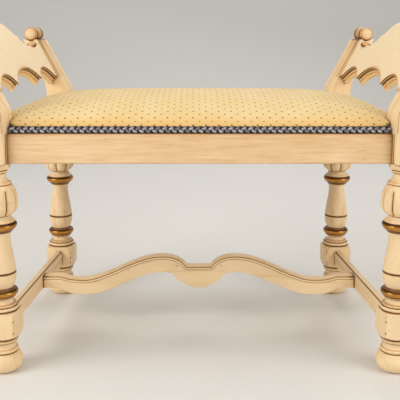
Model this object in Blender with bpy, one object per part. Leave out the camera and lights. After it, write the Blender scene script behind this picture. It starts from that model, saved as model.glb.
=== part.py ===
"""Vanity bench with turned legs, flared arms and a crowned upholstered seat, as solids in metres."""

import math

import bmesh
import bpy
import numpy as np
from mathutils import Matrix, Vector

# Plan. It is a trapezoid, wider at the front, and the arms flare a little more than the legs. The last step
# moves everything by CENTRE_SHIFT, so that the middle of the whole bench stands over the origin.
FRONT_LEG_X = 0.3437
REAR_LEG_X = 0.3084
AXIS_DEPTH = 0.3756
CENTRE_SHIFT = -0.0030
FRONT_POST_SHIFT = 0.0048
REAR_POST_SHIFT = -0.0050
CLEARANCE = 0.0003

# Legs
LEG_SEGMENTS = 24
FOOT_HEIGHT = 0.0632
BLOCK_HEIGHT = 0.0496
BLOCK_WIDTH = 0.0550
TURNING_HEIGHT = 0.2583
LOBE_COUNT = 8
LOBE_DEPTH = 0.055
SPIGOT_RADIUS = 0.0105
SPIGOT_LENGTH = 0.0200

# Posts, scrolls and arm panels
POST_WIDTH = 0.0460
POST_DEPTH = 0.0520
KNEE_ABOVE_RAIL = 0.0380
FLARE_HEIGHT = 0.1095
FLARE = 0.545
BACK_CURVE_RADIUS = 0.115
BACK_CURVE_DROP = 0.0130
ROLL_RADIUS = 0.0144
ROLL_RISE = 0.0110
ROLL_SET = 0.0125
ROLL_OVERHANG = 0.0045
PEG_RADIUS = 0.0045
PEG_LENGTH = 0.0270
PANEL_THICKNESS = 0.0210
PANEL_RECESS = 0.0025
SOFFIT_DROP = 0.0060
TONGUE_THICKNESS = 0.0100
TONGUE_LENGTH = 0.0080
TONGUE_SHOULDER = 0.0130

# Rails
RAIL_HEIGHT = 0.0514
RAIL_THICKNESS = 0.0220
TENON_THICKNESS = 0.0120
TENON_SHOULDER = 0.0065
TENON_RISE = 0.0250
END_TENON_LENGTH = 0.0180
SIDE_TENON_LENGTH = 0.0120

# Stretchers
STRETCHER_HEIGHT = 0.0320
STRETCHER_THICKNESS = 0.0180
STRETCHER_DROP = 0.0015
STRETCHER_EASE = 0.0040
STRETCHER_TENON = 0.0140
STRETCHER_TENON_HEIGHT = 0.0200
CROSS_THICKNESS = 0.0200
CROSS_Y = 0.0220
CROSS_TENON = 0.0090
CROSS_TENON_HEIGHT = 0.0170

# Seat
BRAID_RADIUS = 0.0064
BRAID_SIDES = 8
BRAID_PROUD = 0.0030
BOARD_THICKNESS = 0.0120
SHOULDER_RISE = 0.0305
CROWN_RISE = 0.0530
COVER_THICKNESS = 0.0016
DRAWN_IN = 0.0072
BULGE = 0.0028
CORNER_EASE = 0.0090
CORNER_STEPS = 3
SEAT_PIECE = 0.0800
TOP_POWER = 5.0
CROWN_POWER = 3.0
TOP_SHARES = (0.965, 0.90, 0.78, 0.60, 0.36, 0.14)

# Corner blocks and screws
CORNER_SIDE = 0.0600
CORNER_LAND = 0.0120
CORNER_HEIGHT = 0.0370
CORNER_NOTCH = 0.0024
SCREW_RADIUS = 0.0020
SCREW_HEAD_RADIUS = 0.0042
SCREW_HEAD_HEIGHT = 0.0024
SCREW_SIDES = 8
RAIL_SCREW_LENGTH = 0.0280
SCREW_GRIP = 0.0150
SCREW_BITE = 0.0080
SCREW_STAGGER = 0.0074
SEAT_SCREW_LENGTH = 0.0454
SEAT_SCREW_IN = 0.0240
SEAT_SCREW_BACK = 0.0260
OVERCUT = 0.0200

# Heights that follow from the sizes above
BLOCK_HIGH = FOOT_HEIGHT + BLOCK_HEIGHT
POST_LOW = BLOCK_HIGH + TURNING_HEIGHT
RAIL_HIGH = POST_LOW + RAIL_HEIGHT
TENON_LOW = POST_LOW + TENON_RISE
TENON_HIGH = RAIL_HIGH - TENON_SHOULDER
KNEE_Z = RAIL_HIGH + KNEE_ABOVE_RAIL
POST_HIGH = KNEE_Z + FLARE_HEIGHT
LEAN = math.atan(FLARE)
STRETCHER_MIDDLE = FOOT_HEIGHT + BLOCK_HEIGHT / 2.0 - STRETCHER_DROP
CORNER_LOW = RAIL_HIGH - CLEARANCE - CORNER_HEIGHT

# Turned outlines: share of the height of that stretch, and radius.
FOOT_OUTLINE = (
    (0.000, 0.0150), (0.063, 0.0232), (0.174, 0.0298), (0.309, 0.0316), (0.460, 0.0302),
    (0.548, 0.0270), (0.573, 0.0246), (0.641, 0.0240), (0.760, 0.0194), (0.906, 0.0242),
    (0.996, 0.0242),
)
BLOCK_OUTLINE = (
    (0.000, 0.0262), (0.056, 0.0310), (0.147, 0.0400), (0.883, 0.0400), (0.964, 0.0310), (1.000, 0.0266),
)
TURNING_OUTLINE = (
    (0.012, 0.0266), (0.038, 0.0228), (0.045, 0.0178), (0.070, 0.0168), (0.099, 0.0250),
    (0.120, 0.0272), (0.156, 0.0196), (0.187, 0.0228), (0.252, 0.0247), (0.258, 0.0236),
    (0.264, 0.0246), (0.314, 0.0237), (0.384, 0.0203), (0.450, 0.0171), (0.508, 0.0166),
    (0.544, 0.0206), (0.585, 0.0290), (0.605, 0.0250), (0.645, 0.0180), (0.664, 0.0236),
    (0.684, 0.0292), (0.735, 0.0318), (0.798, 0.0302), (0.866, 0.0212), (0.906, 0.0129),
    (0.934, 0.0132), (0.957, 0.0192), (0.972, 0.0202),
)
LOBES_FROM, LOBES_TO = 0.655, 0.860

# Half of a scroll from its tip to its middle: share of the way, and share of the roll's radius.
ROLL_OUTLINE = (
    (0.00, 0.30), (0.05, 0.66), (0.14, 0.90), (0.26, 1.00),
    (0.40, 0.93), (0.47, 0.80), (0.54, 0.80), (0.60, 0.90),
)

# Arm panel edges: share of the way from the middle to a post, and height above the knee.
CREST = (
    (0.000, 0.1475), (0.072, 0.1462), (0.133, 0.1425), (0.199, 0.1362), (0.259, 0.1285),
    (0.302, 0.1232), (0.350, 0.1185), (0.398, 0.1105), (0.458, 0.1045), (0.530, 0.1000),
    (0.610, 0.0975), (0.705, 0.0965), (0.745, 0.1015), (0.770, 0.1075), (0.793, 0.1090),
    (0.816, 0.1075), (0.841, 0.1015), (0.870, 0.0965), (1.000, 0.0955),
)
ARCHES = (
    (0.000, 0.0595), (0.084, 0.0587), (0.169, 0.0560), (0.253, 0.0510), (0.325, 0.0440),
    (0.385, 0.0360), (0.404, 0.0350), (0.422, 0.0365), (0.482, 0.0455), (0.566, 0.0525),
    (0.663, 0.0545), (0.759, 0.0510), (0.855, 0.0425), (0.928, 0.0325), (1.000, 0.0285),
)

# Cross stretcher edges: share of the way from the middle to an end, and height from the stretchers' middle.
CROSS_TOP = (
    (0.000, 0.0332), (0.064, 0.0332), (0.083, 0.0375), (0.108, 0.0480), (0.147, 0.0530),
    (0.191, 0.0547), (0.242, 0.0548), (0.303, 0.0525), (0.376, 0.0460), (0.462, 0.0350),
    (0.548, 0.0225), (0.631, 0.0120), (0.694, 0.0067), (0.752, 0.0055), (0.815, 0.0077),
    (0.860, 0.0115), (0.895, 0.0130), (1.000, 0.0130),
)
CROSS_BOTTOM = (
    (0.000, -0.0138), (0.035, -0.0120), (0.070, -0.0070), (0.099, -0.0015), (0.105, 0.0055),
    (0.134, 0.0085), (0.150, 0.0150), (0.185, 0.0185), (0.242, 0.0183), (0.312, 0.0150),
    (0.398, 0.0060), (0.484, -0.0055), (0.573, -0.0175), (0.656, -0.0253), (0.745, -0.0273),
    (0.815, -0.0247), (0.866, -0.0175), (0.895, -0.0138), (1.000, -0.0138),
)

# Finishes: base colour, roughness and metallic value.
FINISHES = {
    "paint": ((0.83, 0.66, 0.40, 1.0), 0.45, 0.0),
    "fabric": ((0.80, 0.61, 0.26, 1.0), 0.90, 0.0),
    "cord": ((0.06, 0.08, 0.14, 1.0), 0.80, 0.0),
    "plywood": ((0.55, 0.38, 0.20, 1.0), 0.70, 0.0),
    "foam": ((0.78, 0.72, 0.52, 1.0), 0.95, 0.0),
    "beech": ((0.52, 0.33, 0.17, 1.0), 0.60, 0.0),
    "steel": ((0.55, 0.55, 0.56, 1.0), 0.35, 1.0),
}


def clear_scene():
    for found in list(bpy.data.objects):
        bpy.data.objects.remove(found, do_unlink=True)


def finish(name):
    """The material of this finish, made on its first use."""
    made = bpy.data.materials.get(name)
    if made is None:
        made = bpy.data.materials.new(name)
        made.use_nodes = True
        colour, roughness, metallic = FINISHES[name]
        shader = made.node_tree.nodes["Principled BSDF"]
        shader.inputs["Base Color"].default_value = colour
        shader.inputs["Roughness"].default_value = roughness
        shader.inputs["Metallic"].default_value = metallic
    return made


def new_object(name, bm, frame, material):
    """Link a named object holding this geometry, faces outwards, placed by the frame."""
    bmesh.ops.recalc_face_normals(bm, faces=bm.faces)
    mesh = bpy.data.meshes.new(name)
    bm.to_mesh(mesh)
    bm.free()
    mesh.materials.append(finish(material))
    mesh.shade_smooth()
    mesh.set_sharp_from_angle(angle=math.radians(35.0))
    made = bpy.data.objects.new(name, mesh)
    made.matrix_world = frame
    bpy.context.scene.collection.objects.link(made)
    return made


def add_walls(bm, rows):
    """Faces between each ring of vertices and the next."""
    for lower, upper in zip(rows, rows[1:]):
        for i in range(len(lower)):
            j = (i + 1) % len(lower)
            bm.faces.new((lower[i], lower[j], upper[j], upper[i]))


def loft(name, rings, frame, material="paint"):
    """Join closed rings of equal length, first to last, and cap both ends."""
    bm = bmesh.new()
    rows = [[bm.verts.new(point) for point in ring] for ring in rings]
    add_walls(bm, rows)
    bm.faces.new(rows[0])
    bm.faces.new(rows[-1])
    return new_object(name, bm, frame, material)


def prism(name, outline, low, high, frame, material="paint"):
    """Extrude a flat outline between two heights of the frame's third axis."""
    rings = [[(a, b, height) for a, b in outline] for height in (low, high)]
    return loft(name, rings, frame, material)


def box(name, low, high, frame, material="paint"):
    outline = ((low[0], low[1]), (high[0], low[1]), (high[0], high[1]), (low[0], high[1]))
    return prism(name, outline, low[2], high[2], frame, material)


def rod(name, sections, sides, frame, material="paint"):
    """A round body along the frame's third axis, from (height, radius) sections."""
    turns = np.linspace(0.0, 2.0 * math.pi, sides, endpoint=False)
    around = np.column_stack([np.cos(turns), np.sin(turns)])
    rings = [[(a * radius, b * radius, height) for a, b in around] for height, radius in sections]
    return loft(name, rings, frame, material)


def combine(target, other, operation):
    """Apply one exact Boolean and remove the second object."""
    step = target.modifiers.new(operation.lower(), "BOOLEAN")
    step.operation = operation
    step.solver = "EXACT"
    step.object = other
    bpy.context.view_layer.update()
    graph = bpy.context.evaluated_depsgraph_get()
    target.data = bpy.data.meshes.new_from_object(target.evaluated_get(graph))
    target.modifiers.clear()
    bpy.data.objects.remove(other, do_unlink=True)


def cut(target, cutter):
    combine(target, cutter, "DIFFERENCE")


def join(target, other):
    combine(target, other, "UNION")


def mirrored(source, name):
    """A copy across the plane x = 0 that shares the mesh."""
    made = bpy.data.objects.new(name, source.data)
    made.matrix_world = Matrix.Scale(-1.0, 4, (1.0, 0.0, 0.0)) @ source.matrix_world
    bpy.context.scene.collection.objects.link(made)
    return made


def side_frame(front_x, rear_x, end):
    """Axes of the right side at one end: outwards, rearwards along the side, and up."""
    front = Vector((front_x, -AXIS_DEPTH / 2.0, 0.0))
    rear = Vector((rear_x, AXIS_DEPTH / 2.0, 0.0))
    along = (rear - front).normalized()
    outward = Vector((along.y, -along.x, 0.0))
    frame = Matrix((outward, along, Vector((0.0, 0.0, 1.0)))).transposed().to_4x4()
    frame.translation = {"front": front, "rear": rear, "middle": (front + rear) / 2.0}[end]
    return frame


def leg_frame(end):
    return side_frame(FRONT_LEG_X, REAR_LEG_X, end)


def post_frame(end):
    return side_frame(FRONT_LEG_X + FRONT_POST_SHIFT, REAR_LEG_X + REAR_POST_SHIFT, end)


def lying(frame):
    """The frame turned so that its outline axes are outwards and up, and its third axis runs forwards."""
    return frame @ Matrix.Rotation(math.pi / 2.0, 4, "X")


def inward(end):
    """+1 where the middle of the bench lies rearwards of this end, -1 where it lies forwards."""
    return 1.0 if end == "front" else -1.0


def line_x(frame, out, y):
    """Where a line along the side, at a distance out from the frame's axis, crosses this depth."""
    start = frame @ Vector((out, 0.0, 0.0))
    along = frame.to_3x3().col[1]
    return start.x + along.x * (y - start.y) / along.y


def clear_reach():
    """Half the clear distance between the two posts of one arm."""
    between = post_frame("rear").translation - post_frame("front").translation
    return (between.length - POST_DEPTH) / 2.0


def stretcher_reach():
    """Half the clear distance between the blocks of the two legs on one side."""
    between = leg_frame("rear").translation - leg_frame("front").translation
    return (between.length - BLOCK_WIDTH) / 2.0


def leg(end):
    """A leg turned from the square, with a lobed vase and a spigot for the post above."""
    turns = np.linspace(0.0, 2.0 * math.pi, LEG_SEGMENTS, endpoint=False)
    square = (BLOCK_WIDTH / 2.0) / np.maximum(np.abs(np.cos(turns)), np.abs(np.sin(turns)))
    lobes = 1.0 - LOBE_DEPTH * (1.0 - np.abs(np.cos(LOBE_COUNT / 2.0 * turns - math.pi / 2.0)))
    plain = np.ones(LEG_SEGMENTS)
    levels = [(share * FOOT_HEIGHT, radius * plain) for share, radius in FOOT_OUTLINE]
    for share, radius in BLOCK_OUTLINE:
        levels.append((FOOT_HEIGHT + share * BLOCK_HEIGHT, np.minimum(radius * plain, square)))
    for share, radius in TURNING_OUTLINE:
        shape = lobes if LOBES_FROM < share < LOBES_TO else plain
        levels.append((BLOCK_HIGH + share * TURNING_HEIGHT, radius * shape))
    seat = POST_LOW - CLEARANCE
    levels.append((seat, TURNING_OUTLINE[-1][1] * plain))
    levels.append((seat, SPIGOT_RADIUS * plain))
    levels.append((POST_LOW + SPIGOT_LENGTH, SPIGOT_RADIUS * plain))
    rings = [np.column_stack([r * np.cos(turns), r * np.sin(turns), z * plain]) for z, r in levels]
    made = loft(f"leg_{end}_right", rings, leg_frame(end))
    cut(made, stretcher_tenon("mortise", end, CLEARANCE))
    return made


def stretcher_tenon(name, end, more):
    """The tenon of the side stretcher inside one leg, grown by a clearance."""
    toward = -inward(end)
    half = TENON_THICKNESS / 2.0 + more
    tall = STRETCHER_TENON_HEIGHT / 2.0 + more
    reach = stretcher_reach()
    ends = sorted((toward * (reach - STRETCHER_EASE), toward * (reach + STRETCHER_TENON + more)))
    low = (-half, ends[0], STRETCHER_MIDDLE - tall)
    high = (half, ends[1], STRETCHER_MIDDLE + tall)
    return box(name, low, high, leg_frame("middle"))


def flare_line(z):
    """How far out the inner face of a post stands at this height."""
    return -POST_WIDTH / 2.0 + max(0.0, z - KNEE_Z) * FLARE


def post_outline():
    """The side view of a post: straight below the knee, then flared with a hollow back."""
    half = POST_WIDTH / 2.0
    low = KNEE_Z - BACK_CURVE_DROP
    radius = BACK_CURVE_RADIUS
    turns = np.linspace(0.0, LEAN, 6)
    back = [(half + radius * (1.0 - math.cos(a)), low + radius * math.sin(a)) for a in turns]
    top_out = back[-1][0] + (POST_HIGH - back[-1][1]) * FLARE
    top = [(top_out, POST_HIGH), (flare_line(POST_HIGH), POST_HIGH), (-half, KNEE_Z)]
    return [(-half, POST_LOW), (half, POST_LOW)] + back + top


def roll_place(end):
    """The middle of the scroll on a post."""
    height = POST_HIGH + ROLL_RISE
    return post_frame(end) @ Matrix.Translation((flare_line(height) + ROLL_SET, 0.0, height))


def peg_frame(end):
    """Axes of the scroll's peg: third axis along the flare, from the middle of the roll."""
    return roll_place(end) @ Matrix.Rotation(LEAN, 4, "Y")


def post(end):
    """An arm post with its cradle for the scroll, and the mortises of rails, panel, peg and leg."""
    half = POST_DEPTH / 2.0
    made = prism(f"post_{end}_right", post_outline(), -half, half, lying(post_frame(end)))
    wide = ROLL_RADIUS + CLEARANCE
    cut(made, rod("cradle", ((-POST_DEPTH, wide), (POST_DEPTH, wide)), 20, lying(roll_place(end))))
    hole = PEG_RADIUS + CLEARANCE
    cut(made, rod("peg_hole", ((-PEG_LENGTH - CLEARANCE, hole), (0.0, hole)), 10, peg_frame(end)))
    bore = SPIGOT_RADIUS + CLEARANCE
    bore_top = POST_LOW + SPIGOT_LENGTH + CLEARANCE
    cut(made, rod("bore", ((POST_LOW - OVERCUT, bore), (bore_top, bore)), LEG_SEGMENTS, leg_frame(end)))
    cut(made, end_tenon("end_mortise", end, CLEARANCE))
    cut(made, side_tenon("side_mortise", end, CLEARANCE))
    cut(made, tongue("groove", end, CLEARANCE))
    return made


def scroll(end):
    """A turned roll with a domed boss at each end, pegged into the post."""
    tip = POST_DEPTH / 2.0 + ROLL_OVERHANG
    near = [((share - 1.0) * tip, size * ROLL_RADIUS) for share, size in ROLL_OUTLINE]
    sections = near + [(-height, radius) for height, radius in reversed(near)]
    made = rod(f"scroll_{end}_right", sections, 16, lying(roll_place(end)))
    inside_roll = -ROLL_RADIUS / 2.0
    peg = ((-PEG_LENGTH, PEG_RADIUS), (inside_roll, PEG_RADIUS))
    join(made, rod("peg", peg, 10, peg_frame(end)))
    return made


def panel_frame():
    """Axes of the right arm panel, with zero on its inner face: rearwards, up the flare, and outwards."""
    side = post_frame("middle")
    turn = side.to_3x3()
    along = turn.col[1]
    up = turn @ Vector((math.sin(LEAN), 0.0, math.cos(LEAN)))
    through = turn @ Vector((math.cos(LEAN), 0.0, -math.sin(LEAN)))
    frame = Matrix((along, up, through)).transposed().to_4x4()
    frame.translation = side @ Vector((-POST_WIDTH / 2.0, 0.0, KNEE_Z)) + through * PANEL_RECESS
    return frame


def up_flare(rise):
    """Distance up the leaning panel at this height above the knee."""
    return (rise + PANEL_RECESS * math.sin(LEAN)) / math.cos(LEAN)


def tongue(name, end, more):
    """The tongue of the arm panel that enters one post, grown by a clearance."""
    toward = -inward(end)
    reach = clear_reach()
    ends = sorted((toward * (reach - TONGUE_LENGTH), toward * (reach + TONGUE_LENGTH + more)))
    middle = PANEL_THICKNESS / 2.0
    half = TONGUE_THICKNESS / 2.0 + more
    low = (ends[0], up_flare(ARCHES[-1][1] + TONGUE_SHOULDER) - more, middle - half)
    high = (ends[1], up_flare(CREST[-1][1] - TONGUE_SHOULDER) + more, middle + half)
    return box(name, low, high, panel_frame())


def both_halves(edge, reach):
    """An edge given from the middle outwards, as one run from end to end at its real length."""
    near = [(share * reach, height) for share, height in edge]
    return [(-a, height) for a, height in reversed(near[1:])] + near


def arm_panel():
    """The humped panel between the posts, its scalloped soffits falling towards the outer face."""
    reach = clear_reach() - CLEARANCE
    crest = both_halves(CREST, reach)
    arches = both_halves(ARCHES, reach)[::-1]
    rings = []
    for depth, drop in ((0.0, 0.0), (PANEL_THICKNESS, SOFFIT_DROP)):
        outline = crest + [(a, rise - drop) for a, rise in arches]
        rings.append([(a, up_flare(rise), depth) for a, rise in outline])
    made = loft("arm_panel_right", rings, panel_frame())
    for end in ("front", "rear"):
        join(made, tongue("tongue", end, 0.0))
    return made


def end_tenon(name, end, more):
    """The tenon of the front or rear rail inside the right post, grown by a clearance."""
    half = TENON_THICKNESS / 2.0 + more
    inner = -POST_WIDTH / 2.0
    low = (inner - half, -half, TENON_LOW - more)
    high = (inner + END_TENON_LENGTH + more, half, TENON_HIGH + more)
    return box(name, low, high, post_frame(end))


def side_tenon(name, end, more):
    """The tenon of the right rail inside one post, grown by a clearance."""
    toward = -inward(end)
    half = TENON_THICKNESS / 2.0 + more
    ends = sorted((toward * (clear_reach() - half), toward * (clear_reach() + SIDE_TENON_LENGTH + more)))
    low = (-half, ends[0], TENON_LOW - more)
    high = (half, ends[1], TENON_HIGH + more)
    return box(name, low, high, post_frame("middle"))


def end_rail(end):
    """The front or rear rail, shouldered to the angled inner faces of the posts."""
    middle = -AXIS_DEPTH / 2.0 * inward(end)
    half = RAIL_THICKNESS / 2.0
    shoulder = -POST_WIDTH / 2.0 - CLEARANCE
    edges = [(line_x(post_frame(end), shoulder, y), y) for y in (middle - half, middle + half)]
    outline = edges + [(-x, y) for x, y in reversed(edges)]
    made = prism(f"rail_{end}", outline, POST_LOW, RAIL_HIGH, Matrix.Identity(4))
    near = end_tenon("tenon", end, 0.0)
    join(made, mirrored(near, "far_tenon"))
    join(made, near)
    return made


def side_rail():
    reach = clear_reach() - CLEARANCE
    half = RAIL_THICKNESS / 2.0
    made = box("rail_right", (-half, -reach, POST_LOW), (half, reach, RAIL_HIGH), post_frame("middle"))
    for end in ("front", "rear"):
        join(made, side_tenon("tenon", end, 0.0))
    return made


def side_stretcher():
    """A side stretcher with eased top edges, tenons at both ends and a mortise for the cross stretcher."""
    half = STRETCHER_THICKNESS / 2.0
    ease = STRETCHER_EASE
    low = STRETCHER_MIDDLE - STRETCHER_HEIGHT / 2.0
    high = STRETCHER_MIDDLE + STRETCHER_HEIGHT / 2.0
    right = [(half, low), (half, high - ease), (half - 0.3 * ease, high - 0.3 * ease), (half - ease, high)]
    section = right + [(-a, z) for a, z in reversed(right)]
    reach = stretcher_reach() - CLEARANCE
    made = prism("stretcher_right", section, -reach, reach, lying(leg_frame("middle")))
    for end in ("front", "rear"):
        join(made, stretcher_tenon("tenon", end, 0.0))
    cut(made, cross_tenon("cross_mortise", CLEARANCE))
    return made


def cross_end_x():
    """Where the inner face of the right stretcher stands at the cross stretcher."""
    return line_x(leg_frame("middle"), -STRETCHER_THICKNESS / 2.0 - CLEARANCE, CROSS_Y)


def cross_tenon(name, more):
    """The tenon of the cross stretcher inside the right stretcher, grown by a clearance."""
    half = TENON_THICKNESS / 2.0 + more
    tall = CROSS_TENON_HEIGHT / 2.0 + more
    low = (cross_end_x() - TENON_THICKNESS, CROSS_Y - half, STRETCHER_MIDDLE - tall)
    high = (cross_end_x() + CROSS_TENON + more, CROSS_Y + half, STRETCHER_MIDDLE + tall)
    return box(name, low, high, Matrix.Identity(4))


def cross_stretcher():
    """The serpentine cross stretcher, its ends cut to the angled inner faces of the side stretchers."""
    reach = cross_end_x() + STRETCHER_EASE
    outline = both_halves(CROSS_TOP, reach) + both_halves(CROSS_BOTTOM, reach)[::-1]
    half = CROSS_THICKNESS / 2.0
    place = lying(Matrix.Translation((0.0, CROSS_Y, STRETCHER_MIDDLE)))
    made = prism("stretcher_cross", outline, -half, half, place)
    thick = STRETCHER_THICKNESS / 2.0 + CLEARANCE
    far = (AXIS_DEPTH, AXIS_DEPTH, RAIL_HIGH)
    beside = box("beside", (-thick, -AXIS_DEPTH, 0.0), far, leg_frame("middle"))
    cut(made, mirrored(beside, "far_beside"))
    cut(made, beside)
    near = cross_tenon("tenon", 0.0)
    join(made, mirrored(near, "far_tenon"))
    join(made, near)
    return made


def seat_corners():
    """The corners of the braid's path on the right half, from front to rear round both posts."""
    gap = BRAID_RADIUS + 2.0 * CLEARANCE
    front_y = -AXIS_DEPTH / 2.0 - RAIL_THICKNESS / 2.0 + BRAID_RADIUS - BRAID_PROUD
    inside = -POST_WIDTH / 2.0 - gap
    beyond = POST_DEPTH / 2.0 + gap
    over_rail = RAIL_THICKNESS / 2.0 - BRAID_RADIUS + BRAID_PROUD
    points = []
    for end in ("front", "rear"):
        frame = post_frame(end)
        facing = inward(end)
        run = [(line_x(frame, inside, front_y * facing), front_y * facing)]
        run += [(frame @ Vector((out, facing * beyond, 0.0)))[:2] for out in (inside, over_rail)]
        points += run if end == "front" else run[::-1]
    return np.array(points)


def seat_path(out):
    """The closed path of the braid moved outwards by a distance, with eased corners and even pieces."""
    half = seat_corners()
    loop = np.vstack([half, (half * (-1.0, 1.0))[::-1]])
    into = loop - np.roll(loop, 1, 0)
    spans = np.linalg.norm(into, axis=1)
    into /= spans[:, None]
    away = np.roll(into, -1, 0)
    before = np.column_stack([into[:, 1], -into[:, 0]])
    after = np.column_stack([away[:, 1], -away[:, 0]])
    corners = loop + out * (before + after) / (1.0 + np.sum(before * after, axis=1))[:, None]
    bend = np.sign(into[:, 0] * away[:, 1] - into[:, 1] * away[:, 0])
    sizes = np.maximum(CORNER_EASE + bend * out, CORNER_EASE / 6.0)
    blend = np.linspace(0.0, 1.0, CORNER_STEPS)[:, None]
    path = []
    for i, here in enumerate(corners):
        start = here - into[i] * sizes[i]
        stop = here + away[i] * sizes[i]
        path.append((1.0 - blend) ** 2 * start + 2.0 * blend * (1.0 - blend) * here + blend**2 * stop)
        following = (i + 1) % len(corners)
        finish_at = corners[following] - into[following] * sizes[following]
        pieces = max(1, round(spans[following] / SEAT_PIECE))
        share = np.arange(1, pieces)[:, None] / pieces
        path.append(stop + (finish_at - stop) * share)
    return np.vstack(path)


def cushion_rings(inset, low):
    """Rings of the crowned seat: drawn in at the braid, full above it, then closing over the top.

    The wall follows the braid's path moved in or out. Over the top the rings turn from that outline into
    rounded rectangles, and their height falls from the crown with a power of the distance out.
    """
    lift = RAIL_HIGH + 2.0 * BRAID_RADIUS
    shoulder = RAIL_HIGH + SHOULDER_RISE
    wall = (
        (low, -DRAWN_IN), (lift - 0.3 * BRAID_RADIUS, -DRAWN_IN), (lift + 0.4 * BRAID_RADIUS, 0.0),
        ((lift + shoulder) / 2.0, BULGE), (shoulder, 0.0),
    )
    rings = []
    for z, out in wall:
        edge = seat_path(out - inset)
        rings.append(np.column_stack([edge, np.full(len(edge), z)]))
    rim = seat_path(-inset)
    spread = np.abs(rim) / np.abs(rim).max(axis=0)
    plain = rim / np.sum(spread**TOP_POWER, axis=1)[:, None] ** (1.0 / TOP_POWER)
    for share in TOP_SHARES:
        rise = RAIL_HIGH + CROWN_RISE - (CROWN_RISE - SHOULDER_RISE) * share**CROWN_POWER - inset
        keep = share**6
        ring = (rim * keep + plain * (1.0 - keep)) * share
        rings.append(np.column_stack([ring, np.full(len(rim), rise)]))
    return rings


def cover_shell(outer, inner):
    """A cup of fabric, open below: outer rings up to the crown, inner rings back down, and a rim."""
    bm = bmesh.new()
    outside = [[bm.verts.new(point) for point in ring] for ring in outer]
    inside = [[bm.verts.new(point) for point in ring] for ring in inner]
    add_walls(bm, outside)
    add_walls(bm, inside)
    add_walls(bm, [outside[0], inside[0]])
    bm.faces.new(outside[-1])
    bm.faces.new(inside[-1])
    return new_object("seat_cover", bm, Matrix.Identity(4), "fabric")


def braid():
    """The cord round the foot of the cushion: a closed tube on its path."""
    middle = RAIL_HIGH + CLEARANCE + BRAID_RADIUS
    turns = np.linspace(0.0, 2.0 * math.pi, BRAID_SIDES, endpoint=False)
    bm = bmesh.new()
    rows = []
    for a in turns:
        edge = seat_path(BRAID_RADIUS * math.cos(a))
        height = middle + BRAID_RADIUS * math.sin(a)
        rows.append([bm.verts.new((x, y, height)) for x, y in edge])
    add_walls(bm, rows + rows[:1])
    return new_object("seat_braid", bm, Matrix.Identity(4), "cord")


def seat():
    """Board, foam, cover and braid; the board is returned for its screws."""
    board_low = RAIL_HIGH + CLEARANCE
    board_high = board_low + BOARD_THICKNESS
    edge = seat_path(-DRAWN_IN - COVER_THICKNESS - CLEARANCE)
    board = prism("seat_board", edge, board_low, board_high, Matrix.Identity(4), "plywood")
    cover_shell(cushion_rings(0.0, board_low), cushion_rings(COVER_THICKNESS, board_low))
    foam = cushion_rings(COVER_THICKNESS + CLEARANCE, board_high + CLEARANCE)
    foam.pop(1)
    loft("seat_foam", foam, Matrix.Identity(4), "foam")
    braid()
    return board


def screw_hole(frame, length):
    radius = SCREW_RADIUS + CLEARANCE
    return rod("hole", ((-OVERCUT, radius), (length + CLEARANCE, radius)), SCREW_SIDES, frame)


def fasten(name, frame, length, block, held):
    """Drill the block and the piece it holds, then place a screw, its head before zero on the third axis.

    A piece that reaches both sides of the bench is drilled for the left screw as well.
    """
    cut(block, screw_hole(frame, length))
    if "_right" not in held.name:
        hole = screw_hole(frame, length)
        cut(held, mirrored(hole, "far_hole"))
        bpy.data.objects.remove(hole, do_unlink=True)
    cut(held, screw_hole(frame, length))
    head = SCREW_HEAD_HEIGHT + CLEARANCE
    sections = (
        (-head, 0.6 * SCREW_HEAD_RADIUS), (-0.5 * head, SCREW_HEAD_RADIUS), (-CLEARANCE, SCREW_HEAD_RADIUS),
        (-CLEARANCE, SCREW_RADIUS), (length - SCREW_RADIUS, SCREW_RADIUS), (length, 0.3 * SCREW_RADIUS),
    )
    return rod(name, sections, SCREW_SIDES, frame, "steel")


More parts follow.
